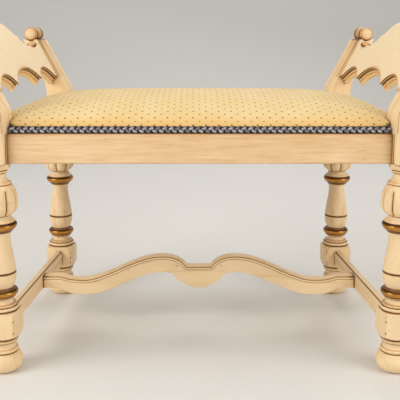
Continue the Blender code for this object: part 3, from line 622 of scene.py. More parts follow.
def rounded_section(flat_steps, corner_steps):
    """A rounded rectangle as four arrays: where its corner centres lie, from -1 to 1 across and up, and the unit
    offset from them. Corner quarters alternate with straight runs."""
    turns = np.arange(4)[:, None] * math.pi / 2.0 + np.linspace(0.0, math.pi / 2.0, corner_steps)
    signs = np.array([(1.0, 1.0), (-1.0, 1.0), (-1.0, -1.0), (1.0, -1.0)])
    blend = np.arange(1, flat_steps)[:, None] / flat_steps
    parts = []
    for sign, following, turn in zip(signs, np.roll(signs, -1, axis=0), turns):
        normals = np.column_stack([np.cos(turn), np.sin(turn)])
        parts.append(np.column_stack([np.tile(sign, (corner_steps, 1)), normals]))
        straight = sign * (1.0 - blend) + following * blend
        parts.append(np.column_stack([straight, np.tile(normals[-1], (flat_steps - 1, 1))]))
    return np.vstack(parts).T


# Shader helpers
def set_inputs(tree, node, inputs):
    """Give inputs of a node, by name or number, their values or links."""
    for name, value in inputs.items():
        if isinstance(value, bpy.types.NodeSocket):
            tree.links.new(value, node.inputs[name])
        else:
            node.inputs[name].default_value = value


def add_node(tree, kind, inputs=None, **settings):
    """Add a node with its settings and its inputs."""
    made = set_values(tree.nodes.new(kind), **settings)
    set_inputs(tree, made, inputs or {})
    return made


def maths(tree, operation, first, second=0.0, third=0.0):
    return add_node(tree, "ShaderNodeMath", {0: first, 1: second, 2: third}, operation=operation).outputs[0]


def plus(tree, first, second):
    return maths(tree, "ADD", first, second)


def times(tree, first, second):
    return maths(tree, "MULTIPLY", first, second)


def blended(tree, share, first, second):
    """One colour mixed into another by a share that changes over the surface."""
    inputs = {0: share, 6: first, 7: second}
    return add_node(tree, "ShaderNodeMix", inputs, data_type="RGBA", clamp_factor=True).outputs[2]


def stepped(tree, value, low, high, to_low=0.0, to_high=1.0):
    """A value stretched smoothly from one range into another."""
    inputs = {"Value": value, "From Min": low, "From Max": high, "To Min": to_low, "To Max": to_high}
    return add_node(tree, "ShaderNodeMapRange", inputs, interpolation_type="SMOOTHSTEP").outputs["Result"]


def noise(tree, vector, scale, detail=3.0, roughness=0.55):
    inputs = {"Vector": vector, "Scale": scale, "Detail": detail, "Roughness": roughness}
    return add_node(tree, "ShaderNodeTexNoise", inputs).outputs["Fac"]


def stretched(tree, vector, scale):
    """Coordinates stretched by a different amount along each axis."""
    return add_node(tree, "ShaderNodeMapping", {"Vector": vector, "Scale": scale}).outputs["Vector"]


def split(tree, vector):
    """The three parts of a vector."""
    return add_node(tree, "ShaderNodeSeparateXYZ", {0: vector}).outputs


def mark_of(tree, name, output="Fac"):
    """A mark stored on the points of the piece."""
    return add_node(tree, "ShaderNodeAttribute", attribute_name=name).outputs[output]


def object_place(tree):
    return add_node(tree, "ShaderNodeTexCoord").outputs["Object"]


def bump(tree, height, strength, distance):
    inputs = {"Height": height, "Strength": strength, "Distance": distance}
    return add_node(tree, "ShaderNodeBump", inputs).outputs["Normal"]


def tinted(colour, red, green, blue):
    """A colour with its parts multiplied, none above one."""
    return tuple(np.minimum(np.array(colour) * (red, green, blue, 1.0), 1.0))


def new_group(name, output, **values):
    """An empty node group for a vector and some numbers; returns its tree, its inputs by name and its output."""
    tree = bpy.data.node_groups.new(name, "ShaderNodeTree")
    tree.interface.new_socket("Vector", in_out="INPUT", socket_type="NodeSocketVector")
    for label, value in values.items():
        tree.interface.new_socket(label, in_out="INPUT", socket_type="NodeSocketFloat").default_value = value
    tree.interface.new_socket(output, in_out="OUTPUT", socket_type="NodeSocketFloat")
    return tree, tree.nodes.new("NodeGroupInput").outputs, tree.nodes.new("NodeGroupOutput").inputs[0]


def streaks_group():
    """Long brush and grain streaks: noise drawn out along the first axis, in two widths."""
    tree, given, result = new_group("Streaks", "Streak")
    wide = noise(tree, stretched(tree, given["Vector"], (7.0, 70.0, 70.0)), 1.0, 5.0, 0.6)
    fine = noise(tree, stretched(tree, given["Vector"], (26.0, 620.0, 620.0)), 1.0, 3.0, 0.6)
    tree.links.new(plus(tree, times(tree, wide, 0.7), times(tree, fine, 0.3)), result)
    return tree


def specks_group():
    """Scattered pinholes: cells whose random number is low hold a round spot at their middle."""
    tree, given, result = new_group("Specks", "Mask", Cells=60.0, Share=0.2, Size=0.06)
    cells = add_node(tree, "ShaderNodeTexVoronoi", {"Vector": given["Vector"], "Scale": given["Cells"]}).outputs
    chance = add_node(tree, "ShaderNodeSeparateColor", {0: cells["Color"]}).outputs[0]
    chosen = maths(tree, "LESS_THAN", chance, given["Share"])
    size = times(tree, given["Size"], plus(tree, 0.35, maths(tree, "DIVIDE", chance, given["Share"])))
    near = maths(tree, "LESS_THAN", cells["Distance"], size)
    tree.links.new(times(tree, chosen, near), result)
    return tree


def broken_group():
    """A mark with a ragged border: noise is added to it before a soft threshold."""
    tree, given, result = new_group("Broken Mark", "Mask", Mark=0.0, Scale=90.0, Ragged=0.5, Low=0.3, High=0.8)
    cloud = noise(tree, given["Vector"], given["Scale"], 4.0)
    push = times(tree, maths(tree, "SUBTRACT", cloud, 0.5), given["Ragged"])
    raised = plus(tree, given["Mark"], push)
    tree.links.new(stepped(tree, raised, given["Low"], given["High"]), result)
    return tree


def dots_group():
    """A square lattice of round dots: the distance from the middle of each cell, against a radius."""
    tree, given, result = new_group("Dots", "Mask", Spacing=0.02, Radius=0.1, Shift=0.0)
    squares = []
    for part in split(tree, given["Vector"])[:2]:
        cell = plus(tree, maths(tree, "DIVIDE", part, given["Spacing"]), given["Shift"])
        middle = maths(tree, "SUBTRACT", maths(tree, "FRACT", cell), 0.5)
        squares.append(times(tree, middle, middle))
    away = maths(tree, "SQRT", plus(tree, *squares))
    outside = stepped(tree, away, times(tree, given["Radius"], 0.7), given["Radius"])
    tree.links.new(maths(tree, "SUBTRACT", 1.0, outside), result)
    return tree


def weave_group():
    """Plain weave: the threads of one set stand up where those of the other go under, as a product of sines."""
    tree, given, result = new_group("Weave", "Height", Pitch=0.001)
    waves = []
    for part in split(tree, given["Vector"])[:2]:
        turns = times(tree, maths(tree, "DIVIDE", part, given["Pitch"]), math.pi)
        waves.append(maths(tree, "SINE", turns))
    tree.links.new(maths(tree, "MULTIPLY_ADD", times(tree, *waves), 0.5, 0.5), result)
    return tree


def effect(tree, name, **inputs):
    """The result of a shared node group, which is built on its first use."""
    makers = {
        "Streaks": streaks_group, "Specks": specks_group, "Broken Mark": broken_group, "Dots": dots_group,
        "Weave": weave_group,
    }
    shared = bpy.data.node_groups.get(name) or makers[name]()
    return add_node(tree, "ShaderNodeGroup", inputs, node_tree=shared).outputs[0]


def new_material(name):
    """A material with nodes; returns it with its tree and its shader."""
    made = bpy.data.materials.new(name)
    made.use_nodes = True
    return made, made.node_tree, made.node_tree.nodes["Principled BSDF"]


def painted_wood():
    """Old cream paint: streaked and mottled body, amber wash and brown glaze by the piece's glaze mark, which also
    carries painted shade, paler where that mark is below zero, gilt by its gilt mark, rubbed edges by its edge mark,
    and pinholes."""
    found = bpy.data.materials.get("painted_wood")
    if found:
        return found
    colours = bpy.context.scene.bench_colours
    made, tree, shader = new_material("painted_wood")
    place = object_place(tree)
    grain = mark_of(tree, "grain", "Vector")
    glaze_and_shade = mark_of(tree, "glaze_and_shade")
    streak = effect(tree, "Streaks", Vector=grain)
    mottle = stepped(tree, noise(tree, place, 9.0, 4.0), 0.35, 0.70)
    body = blended(tree, mottle, colours.cream, tinted(colours.cream, 1.06, 1.08, 1.14))
    body = blended(tree, stepped(tree, streak, 0.50, 0.74), body, tinted(colours.cream, 0.82, 0.71, 0.54))
    made_paler = stepped(tree, glaze_and_shade, 0.0, -0.4, 0.0, 0.8)
    body = blended(tree, made_paler, body, tinted(colours.cream, 1.06, 1.16, 1.32))
    ragged = {"Vector": stretched(tree, grain, (0.08, 1.0, 1.0)), "Mark": glaze_and_shade, "Scale": 220.0}
    wash = effect(tree, "Broken Mark", **ragged, Ragged=0.5, Low=0.12, High=0.75)
    dark = effect(tree, "Broken Mark", **ragged, Ragged=0.35, Low=0.48, High=0.95)
    body = blended(tree, times(tree, wash, 0.85), body, colours.amber)
    leaf = effect(
        tree, "Broken Mark", Vector=place, Mark=mark_of(tree, "gilt"), Scale=160.0, Ragged=0.3, Low=0.25, High=0.6
    )
    body = blended(tree, leaf, body, colours.gilt)
    body = blended(tree, times(tree, dark, 0.92), body, colours.glaze_and_shade)
    worn = {"Vector": place, "Mark": mark_of(tree, "edge")}
    chips = effect(tree, "Broken Mark", **worn, Scale=75.0, Ragged=1.7, Low=1.05, High=1.13)
    rubbed = effect(tree, "Broken Mark", **worn, Scale=40.0, Ragged=1.0, Low=0.62, High=1.15)
    body = blended(tree, times(tree, rubbed, 0.40), body, colours.amber)
    body = blended(tree, chips, body, colours.glaze_and_shade)
    holes = effect(tree, "Specks", Vector=place, Cells=66.0, Share=0.75, Size=0.056)
    faint = effect(tree, "Specks", Vector=place, Cells=120.0, Share=0.55, Size=0.075)
    body = blended(tree, times(tree, faint, 0.40), body, colours.glaze_and_shade)
    body = blended(tree, times(tree, holes, 0.80), body, colours.glaze_and_shade)
    dull = stepped(tree, streak, 0.3, 0.7, 0.40, 0.52)
    sunk = plus(tree, holes, times(tree, chips, 0.8))
    height = maths(tree, "SUBTRACT", times(tree, streak, 0.35), sunk)
    set_inputs(tree, shader, {
        "Base Color": body, "Roughness": maths(tree, "SUBTRACT", dull, times(tree, leaf, 0.16)),
        "Metallic": times(tree, leaf, 0.75), "Normal": bump(tree, height, 0.35, 0.0006),
    })
    return made


def seat_fabric():
    """Yellow woven fabric: a fine weave with two lattices of dots, each half a cell from the other, on the cloth mark,
    deeper and warmer in colour low down beside the cord as painted shade, and a plain lining underneath."""
    colours = bpy.context.scene.bench_colours
    made, tree, shader = new_material("seat_fabric")
    cloth = mark_of(tree, "cloth", "Vector")
    weave = effect(tree, "Weave", Vector=cloth, Pitch=0.00085)
    slub = noise(tree, stretched(tree, cloth, (60.0, 900.0, 1.0)), 1.0)
    threads = plus(tree, times(tree, weave, 0.6), times(tree, slub, 0.4))
    between = stepped(tree, threads, 0.65, 0.25)
    mottle = stepped(tree, noise(tree, cloth, 14.0), 0.35, 0.7)
    body = blended(tree, mottle, colours.ground, tinted(colours.ground, 1.05, 1.10, 1.28))
    body = blended(tree, times(tree, between, 0.55), body, tinted(colours.ground, 0.86, 0.80, 0.62))
    # Painted shade low on the cover beside the cord, by the low mark.
    low = times(tree, mark_of(tree, "low"), 0.75)
    body = blended(tree, low, body, tinted(colours.ground, 0.95, 0.74, 0.50))
    spacing = bpy.context.scene.bench_shape.dot_spacing
    lattice = {"Vector": stretched(tree, cloth, (1.0, 1.12, 1.0)), "Spacing": spacing}
    slate = effect(tree, "Dots", **lattice, Radius=0.094, Shift=0.0)
    rust = effect(tree, "Dots", **lattice, Radius=0.088, Shift=0.5)
    fray = stepped(tree, noise(tree, cloth, 700.0, 2.0), 0.25, 0.5, 0.72, 1.0)
    body = blended(tree, times(tree, slate, fray), body, colours.slate_dot)
    body = blended(tree, times(tree, rust, fray), body, colours.rust_dot)
    plain = blended(tree, between, colours.lining, tinted(colours.lining, 0.72, 0.70, 0.66))
    raised = plus(tree, threads, times(tree, plus(tree, slate, rust), 0.5))
    set_inputs(tree, shader, {
        "Base Color": blended(tree, mark_of(tree, "lining"), body, plain),
        "Roughness": stepped(tree, slub, 0.3, 0.7, 0.78, 0.92), "Normal": bump(tree, raised, 0.45, 0.0006),
        "Sheen Weight": 0.12, "Sheen Roughness": 0.45,
    })
    return made


def plaited_cord():
    """Silky cord: the strand mark gives navy or grey, the navy also being painted shade where strands meet and pass
    under; fine fibres run round each strand at a slant.
    """
    colours = bpy.context.scene.bench_colours
    made, tree, shader = new_material("plaited_cord")
    fibre = mark_of(tree, "fibre", "Vector")
    tone = mark_of(tree, "tone")
    travel, turn, _ = split(tree, fibre)
    slant = plus(tree, times(tree, travel, 5200.0), times(tree, turn, 4.0))
    ply = maths(tree, "MULTIPLY_ADD", maths(tree, "SINE", slant), 0.5, 0.5)
    lint = noise(tree, stretched(tree, fibre, (500.0, 2.0, 1.0)), 1.0)
    body = blended(tree, tone, colours.navy_and_gap_shade, colours.silver)
    shadow = blended(tree, tone, tinted(colours.navy_and_gap_shade, 0.5, 0.5, 0.5), tinted(colours.silver, 0.42, 0.42, 0.5))
    body = blended(tree, stepped(tree, ply, 0.55, 0.1), body, shadow)
    body = blended(tree, times(tree, stepped(tree, lint, 0.5, 0.75), 0.06), body, colours.silver)
    set_inputs(tree, shader, {
        "Base Color": body, "Roughness": stepped(tree, lint, 0.3, 0.7, 0.50, 0.68),
        "Normal": bump(tree, ply, 0.5, 0.0004), "Sheen Weight": 0.05,
    })
    return made


def bare_wood(name, light, dark, along):
    """Unpainted wood: streaks drawn out along one axis, darker flecks, and a dull surface."""
    made, tree, shader = new_material(name)
    place = stretched(tree, object_place(tree), along)
    streak = effect(tree, "Streaks", Vector=place)
    body = blended(tree, stepped(tree, streak, 0.38, 0.66), light, dark)
    fleck = effect(tree, "Specks", Vector=place, Cells=220.0, Share=0.25, Size=0.16)
    body = blended(tree, times(tree, fleck, 0.35), body, tinted(dark, 0.6, 0.55, 0.5))
    set_inputs(tree, shader, {
        "Base Color": body, "Roughness": stepped(tree, streak, 0.3, 0.7, 0.55, 0.72),
        "Normal": bump(tree, streak, 0.3, 0.0005),
    })
    return made


def screw_steel():
    """Zinc-grey screws with dull spots."""
    made, tree, shader = new_material("screw_steel")
    spots = noise(tree, object_place(tree), 900.0)
    dull = stepped(tree, spots, 0.4, 0.7)
    set_inputs(tree, shader, {
        "Base Color": blended(tree, dull, (0.52, 0.52, 0.53, 1.0), (0.30, 0.29, 0.27, 1.0)),
        "Roughness": stepped(tree, spots, 0.3, 0.7, 0.28, 0.48), "Metallic": 1.0,
    })
    return made


# Shapes
def leg_surface(end, shape):
    """A turned leg: radius by height, turned round the axis. In the block it is the lesser of that radius and a square;
    over the upper vase it is multiplied by eight lobes, whose grooves fade out at a rounded top."""
    line = runs_line(LEG_RUNS, LEG_STEPS)
    up = line[:, :1]
    turns = full_turn(shape.turn_steps)
    half_block = shape.block_width / 2.0
    square = np.abs(np.cos(turns)) ** SOFT_CORNER + np.abs(np.sin(turns)) ** SOFT_CORNER
    square = half_block / square ** (1.0 / SOFT_CORNER)
    in_block = (up >= BLOCK_LOW) & (up <= BLOCK_HIGH)
    radius = np.where(in_block, np.minimum(line[:, 1:], square), line[:, 1:])
    across = np.abs(np.sin(LOBES / 2.0 * turns))
    top = LOBE_FALL[1] - (LOBE_FALL[1] - LOBE_FALL[0]) * (1.0 - across) ** 2
    lobed = ramp(up, *LOBE_RISE) * (1.0 - ramp(up, top - 0.005, top))
    radius = radius * (1.0 - shape.lobe_depth * (1.0 - across**0.7) * lobed)
    glaze_and_shade = sum(amount * joint_glaze(up - z, *TURNED_LINE) for z, amount in GLAZE_LINES)
    glaze_and_shade = glaze_and_shade + lobed * joint_glaze(across, *LOBE_GROOVE) + 0.55 * bell(up - UNDER_BLOCK, 0.0026)
    nicks = sum(bell(up - z, 0.0024) for z in BLOCK_NICKS)
    glaze_and_shade = glaze_and_shade + 1.25 * nicks * bell(turns - BLOCK_NICK_TURN, 0.040)
    gilt = 0.0
    for low, high in GILT_BANDS:
        share = (up - low) / (high - low)
        band = (share >= 0.0) & (share <= 1.0)
        gilt = gilt + band
        # Painted shade and reflection on each gilt ring: glaze darkens its top and its bottom, leaving a gold stripe
        # between them as a painted highlight.
        glaze_and_shade = glaze_and_shade + band * (0.95 * ramp(share, 0.55, 0.95) + 0.80 * ramp(share, 0.32, 0.02))
    corner = 0.90 * bell(np.abs(np.cos(2.0 * turns)), 0.22)
    edge = in_block * corner * ramp(radius, half_block * 1.05, half_block * 1.3)
    out, back = radius * np.cos(turns), radius * np.sin(turns)
    grain = stacked(up + GRAIN_SHIFT["leg"] * ENDS.index(end), out, back)
    return tube(LEG_SIDE.placed(end, out, back, up), wood_marks(grain, glaze_and_shade, edge, gilt))


def inner_line(up):
    """Inner face of a post: upright, then flared, with the knee eased by a hyperbola."""
    rise = up - KNEE_Z
    return -POST_WIDTH / 2.0 + FLARE * 0.5 * (rise + np.sqrt(rise**2 + KNEE_EASE**2) - KNEE_EASE)


def outer_line(up):
    """Outer back of a post: upright, then a hollow arc that ends at the flare's slope, then straight."""
    arc_rise = BACK_CURVE_RADIUS * math.sin(LEAN)
    on_arc = np.clip(up - BACK_CURVE_LOW, 0.0, arc_rise)
    hollow = BACK_CURVE_RADIUS - np.sqrt(BACK_CURVE_RADIUS**2 - on_arc**2)
    return POST_WIDTH / 2.0 + hollow + np.maximum(0.0, up - BACK_CURVE_LOW - arc_rise) * FLARE


def post_top(out):
    """Top of a post: level, with a round hollow for the scroll."""
    wide = ROLL_RADIUS + CLEARANCE
    inside = np.sqrt(np.maximum(wide**2 - (out - ROLL_OUT) ** 2, 0.0))
    return np.minimum(POST_HIGH, np.where(inside > 0.0, ROLL_Z - inside, POST_HIGH))


def post_surface(end, shape):
    """An arm post: a rounded rectangle carried up between the inner and outer lines, its inner face slightly hollow
    beside the panel, and a top that shrinks to its middle while following the scroll's hollow."""
    across, deep, normal_across, normal_deep = rounded_section(*POST_SECTION_STEPS)
    to_panel = {"front": 1.0, "rear": -1.0}[end]
    half_deep = POST_DEPTH / 2.0
    edge = shape.post_edge
    depth_share = to_panel * (deep * (half_deep - edge) + normal_deep * edge) / half_deep
    inner = ramp(-normal_across, 0.6, 0.95)
    sunk = 0.0016 * ramp(depth_share, -0.42, -0.30) * (normal_across < -0.99) * ramp(1.0 - depth_share, 0.15, 0.5)
    share = np.linspace(0.0, 1.0, POST_STEPS)[:, None]
    ease = POST_TOP_EASE
    inset = np.concatenate([np.zeros(len(share)), [0.3 * ease, ease, 0.0, 0.0, 0.0]])[:, None]
    inset[0, 0] = ease
    shrink = np.concatenate([np.ones(len(share) + 2), [0.8, 0.5, 0.15]])[:, None]

    def spread(up, inset_now):
        half = (outer_line(up) - inner_line(up)) / 2.0 - inset_now
        flared = ramp(up, KNEE_Z - 0.004, KNEE_Z + 0.018)
        out = across * (half - edge) + normal_across * edge + sunk * flared
        return (outer_line(up) + inner_line(up)) / 2.0, out

    middle, out = spread(np.full((1, 1), POST_HIGH), 0.0)
    end_up = post_top(middle + out)
    up = POST_LOW + share * (end_up - ease - POST_LOW)
    up = np.vstack([up, end_up - 0.3 * ease, np.repeat(end_up, 4, axis=0)])
    middle, out = spread(up, inset)
    out = out * shrink
    back = (deep * (half_deep - edge - inset) + normal_deep * edge) * shrink
    over = slice(len(share) + 2, None)
    up[over] = post_top(middle[over] + out[over])
    bands = 0.34 * ramp(depth_share, -0.42, -0.26) + 0.22 * ramp(depth_share, 0.45, 0.95)
    bands = bands + 0.20 * bell(depth_share + 0.34, 0.05)
    by_panel = ramp(up, KNEE_Z + 0.020, KNEE_Z + 0.034)
    quirk = bell(np.abs(normal_across + 0.75) + np.abs(normal_deep * to_panel + 0.66), 0.22)
    # Painted shade: a dark band across the post top where the scroll sits above it, on the inner side of the scroll.
    shade_under_scroll = 0.42 * ramp(up, end_up - 0.0035, end_up - 0.0005) * ramp(middle + out, ROLL_OUT + 0.004, ROLL_OUT)
    joint = bell(1.0 - depth_share, 0.10) * ramp(-normal_across, 0.02, 0.30) * by_panel
    below = 1.0 - ramp(up, KNEE_Z + 0.004, KNEE_Z + 0.016)
    over_rail = ramp(up, RAIL_HIGH - 0.003, RAIL_HIGH + 0.006)
    seam = bell(depth_share + 0.48, 0.09) * (1.0 - over_rail)
    glaze_and_shade = 0.55 * joint + 0.95 * quirk * below * over_rail + 0.9 * bell(up - POST_LOW, 0.0014) + shade_under_scroll
    # Painted shade: the inner face is a little darker below the knee, beside the seat (the 0.16 times below); the bands
    # and the seam are glaze.
    glaze_and_shade = glaze_and_shade + inner * (bands * by_panel + 0.16 * below + 0.85 * seam)
    glaze_and_shade = glaze_and_shade + 0.16 * inner * ramp(up, POST_HIGH - 0.040, POST_HIGH)
    worn = 0.6 * np.abs(normal_across * normal_deep) * 2.0
    return tube(POST_SIDE.placed(end, middle + out, back, up), wood_marks(stacked(up, back, out), glaze_and_shade, worn))


def scroll_surface(end):
    """A scroll: domed boss, groove and drum, the same at both ends, turned round a level axis along the side."""
    near = (ROLL_HALF, 0.0) - runs_line(ROLL_RUNS, ROLL_STEPS) * (1.0, -1.0)
    line = both_ways(near[::-1])
    back, radius = line[:, :1], line[:, 1:]
    turns = full_turn(ROLL_TURN_STEPS)
    rings = POST_SIDE.placed(end, ROLL_OUT + radius * np.cos(turns), back, ROLL_Z + radius * np.sin(turns))
    from_tip = ROLL_HALF - np.abs(back)
    glaze_and_shade = 0.26 + 1.00 * bell(from_tip - 0.0146, 0.0034) + 0.34 * ramp(from_tip, 0.0160, 0.0200)
    rim = 0.38 * bell(from_tip - 0.0056, 0.0026)
    # Painted shade: the scroll darkens towards its underside.
    shade_below_axis = np.clip((ROLL_Z - rings[..., 2]) / ROLL_RADIUS, 0.0, 1.0)
    return tube(rings, wood_marks(rings, glaze_and_shade + rim + 0.35 * shade_below_axis**2))


def leaning(through, rise):
    """Distances out and up of points in an arm panel, from their place through it and their way up along it."""
    out = -POST_WIDTH / 2.0 + through * math.cos(LEAN) + rise * math.sin(LEAN)
    return out, KNEE_Z - through * math.sin(LEAN) + rise * math.cos(LEAN)


def panel_surface():
    """An arm panel: at each place along it, a closed section from the moulded soffit up the outer face, over the
    rounded crest and down the inner face, leaning with the posts."""
    reach = HALF_BETWEEN_POSTS - CLEARANCE
    arches = both_ways(chained([smooth_line(run, count) for run, count in zip(ARCHES, ARCH_STEPS)]))
    crest = both_ways(smooth_line(CREST, CREST_STEPS))
    place, low = arches[:, :1] * reach, arches[:, 1:]
    high = np.interp(arches[:, :1], crest[:, 0], crest[:, 1])
    soffit = smooth_line(SOFFIT, SOFFIT_STEPS)
    face = np.linspace(0.0, 1.0, PANEL_FACE_STEPS)[1:-1]
    turn = np.linspace(0.0, math.pi, 13)
    no_soffit, no_face, no_crest = (np.zeros(len(values)) for values in (soffit, face, turn))
    half = PANEL_THICKNESS / 2.0
    over_crest = half + (half - CREST_EASE) * np.sign(np.cos(turn)) + CREST_EASE * np.cos(turn)
    through = np.concatenate([soffit[:, 0] * PANEL_THICKNESS, no_face + PANEL_THICKNESS, over_crest, no_face])
    under = soffit[:, 1] - SOFFIT_DROP * soffit[:, 0]
    from_low = np.concatenate([under, no_face - SOFFIT_DROP, no_crest, no_face])
    from_high = np.concatenate([no_soffit, no_face, -CREST_EASE * (1.0 - np.sin(turn)), no_face])
    share = np.concatenate([no_soffit, face, no_crest + 1.0, face[::-1]])
    rise = (low + from_low) * (1.0 - share) + (high + from_high) * share
    out, up = leaning(PANEL_RECESS + through, (rise + PANEL_RECESS * math.sin(LEAN)) / math.cos(LEAN))
    on_face = share > 0.0
    lip = 0.35 * bell((rise - low) * on_face, 0.003) * on_face
    mould = np.concatenate([soffit[:, 2], no_face - 0.4, no_crest - 0.4, no_face - 0.4])
    glaze_and_shade = mould + joint_glaze(reach - np.abs(place), *PANEL_JOINT) + lip
    edge = np.concatenate([no_soffit, no_face, 0.5 * np.sin(turn), no_face])
    rings = POST_SIDE.placed("middle", out, place, up)
    return tube(rings, wood_marks(stacked(place, rise, through), glaze_and_shade, edge))


def bead_surface(toward):
    """The small roll in the crook between the crest and a post: a turned shape lying across the panel, with domed
    ends and a waist, its axis leaning with the panel."""
    turns = np.linspace(0.0, math.pi, BEAD_STEPS)[:, None]
    fat = np.sin(turns) ** 0.5 * (1.0 - 0.16 * bell(turns - BEAD_WAIST, 0.16))
    radius = BEAD_RADIUS * np.maximum(fat, 0.004)
    through = PANEL_RECESS + PANEL_THICKNESS / 2.0 - 0.0012 - BEAD_HALF * np.cos(turns)
    around = full_turn(BEAD_TURN_STEPS)
    out, up = leaning(through, BEAD_RISE / math.cos(LEAN) + radius * np.sin(around))
    place = toward * BEAD_SHARE * HALF_BETWEEN_POSTS + radius * np.cos(around)
    rings = POST_SIDE.placed("middle", out, place, up)
    # Painted shade on the underside of the roll, and a painted highlight at its outer end, which is made paler.
    under = np.clip(-np.sin(around), 0.0, 1.0)
    glaze_and_shade = 0.55 + 0.60 * bell(turns - BEAD_WAIST, 0.22) + 0.60 * under**1.5 - 0.75 * ramp(turns, 2.1, 2.6)
    return tube(rings, wood_marks(rings, glaze_and_shade))


def rail_shape(edge, steps, reach_at, grain_shift):
    """A rail: a rounded rectangle carried from end to end, where reach_at gives the ends' distance from the middle for
    each distance across, so that an end can be cut at an angle. Returned in the rail's own distances."""
    across, tall, normal_across, normal_tall = rounded_section(*RAIL_SECTION_STEPS)
    wide = across * (RAIL_THICKNESS / 2.0 - edge) + normal_across * edge
    up = (POST_LOW + RAIL_HIGH) / 2.0 + tall * ((RAIL_HIGH - POST_LOW) / 2.0 - edge) + normal_tall * edge
    reach = reach_at(wide)
    place = np.linspace(-1.0, 1.0, steps)[:, None] * reach
    corner = np.abs(normal_across * normal_tall) * 2.0
    glaze_and_shade = joint_glaze(reach - np.abs(place), *RAIL_JOINT) + 0.16 * corner
    return place, wide, up, wood_marks(stacked(place + grain_shift, wide, up), glaze_and_shade, 0.7 * corner)


def end_rail_surface(end, shape):
    """The front or rear rail, its ends cut to the angled inner faces of the posts."""
    depth = LEG_AXIS[end][1]

    def reach_at(wide):
        return POST_SIDE.crossing(end, -POST_WIDTH / 2.0 - CLEARANCE, depth + wide)

    shift = GRAIN_SHIFT["end_rail"] * ENDS.index(end)
    place, wide, up, marks = rail_shape(shape.rail_edge, END_RAIL_STEPS, reach_at, shift)
    # The rail's amber tone, and painted shade along its top under the cord.
    marks["glaze_and_shade"] = marks["glaze_and_shade"] + 0.37 + 0.10 * bell(up - RAIL_HIGH, 0.006)
    return tube(stacked(place, depth + wide, up), marks)


def side_rail_surface(shape):
    """A side rail between two posts."""

    def reach_at(wide):
        return HALF_BETWEEN_POSTS - CLEARANCE

    place, wide, up, marks = rail_shape(shape.rail_edge, SIDE_RAIL_STEPS, reach_at, GRAIN_SHIFT["side_rail"])
    return tube(POST_SIDE.placed("middle", wide, place, up), marks)


def side_stretcher_surface(shape):
    """A side stretcher: a bar with rounded top edges and a fine quirk cut along its inner top edge."""
    reach = (LEG_SIDE.length - shape.block_width) / 2.0 - CLEARANCE
    side, inwards, down, shade = np.array(STRETCHER_SECTION).T
    wide, up = side * (STRETCHER_THICKNESS / 2.0 - inwards), STRETCHER_HIGH - down
    place = np.linspace(-reach, reach, STRETCHER_STEPS)[:, None]
    glaze_and_shade = shade + joint_glaze(reach - np.abs(place), *STRETCHER_JOINT)
    grain = stacked(place + GRAIN_SHIFT["stretcher"], wide, up)
    return tube(LEG_SIDE.placed("middle", wide, place, up), wood_marks(grain, glaze_and_shade, 0.15))


def even_runs(runs):
    """A line given in runs from the middle outwards, as one line from end to end: each run in even steps along its
    length, with upward normals eased over a few steps so that they fan out at corners."""
    near = [even_steps(smooth_line(run, 400), count)[0] for run, count in zip(runs, CROSS_STEPS)]
    line = both_ways(chained(near))
    eased = 6
    padded = np.pad(-right_of(unit(np.gradient(line, axis=0))), ((eased, eased), (0, 0)), mode="edge")
    return line, unit(sum(padded[step:step + len(line)] for step in range(2 * eased + 1)))


def cross_stretcher_surface():
    """The serpentine cross stretcher: its top edge is moved inwards along its own normal for the bead and the incised
    line of either face, and the plain face below runs from there to the lower edge, which is eased the same way."""
    out = -STRETCHER_THICKNESS / 2.0 - CLEARANCE
    scale = (LEG_SIDE.crossing("middle", out, CROSS_Y) + 0.004, 1.0)
    top, into_top = even_runs([np.array(run) * scale for run in CROSS_TOP])
    bottom, into_bottom = even_runs([np.array(run) * scale for run in CROSS_BOTTOM])
    face, ease = smooth_line(CROSS_FACE, CROSS_FACE_STEPS), np.array(CROSS_EASE)
    upper = top[:, None] - into_top[:, None] * face[None, :, :1]
    lower = bottom[:, None] + into_bottom[:, None] * ease[None, :, :1]
    share = np.linspace(0.0, 1.0, CROSS_PLAIN_STEPS)[1:-1, None]
    between = upper[:, -1:] * (1.0 - share) + lower[:, :1] * share
    side = np.concatenate([upper, between, lower], axis=1)
    line = np.concatenate([side, side[:, ::-1]], axis=1)
    pulled = np.concatenate([face[:, 1], np.zeros(len(share)), ease[:, 1]]) - CROSS_THICKNESS / 2.0
    shade = np.concatenate([face[:, 2], np.full(len(share) + len(ease), face[-1, 2])])
    y = np.concatenate([pulled, -pulled[::-1]])
    limit = LEG_SIDE.crossing("middle", out, CROSS_Y + y)
    x, z = np.clip(line[..., 0], -limit, limit), line[..., 1]
    from_middle = np.abs(x)
    glaze_and_shade = np.concatenate([shade, shade[::-1]]) + joint_glaze(limit - from_middle, *CROSS_JOINT)
    for amount, place, width, height, tall in CROSS_SPOTS:
        glaze_and_shade = glaze_and_shade + amount * bell(from_middle - place, width) * bell(z - height, tall)
    up = STRETCHER_MIDDLE + z
    grain = stacked(x + GRAIN_SHIFT["cross"], y, up)
    return tube(stacked(x, CROSS_Y + y, up), wood_marks(grain, glaze_and_shade, 0.2))


def seat_corners():
    """Corners of the cord's path on the right half, from front to rear round both posts."""
    gap = CORD_RADIUS + 2.0 * CLEARANCE
    inside = -POST_WIDTH / 2.0 - gap
    over_rail = RAIL_THICKNESS / 2.0 - CORD_RADIUS + CORD_PROUD
    points = []
    for end, lit_face in zip(ENDS, (1.0, -1.0)):
        edge = LEG_AXIS[end][1] - lit_face * over_rail
        past_post = POST_SIDE.origin[end] + lit_face * (POST_DEPTH / 2.0 + gap) * POST_SIDE.along
        run = [(POST_SIDE.crossing(end, inside, edge), edge)]
        run += [past_post + out * POST_SIDE.outward for out in (inside, over_rail)]
        points += run if end == "front" else run[::-1]
    return np.array(points)


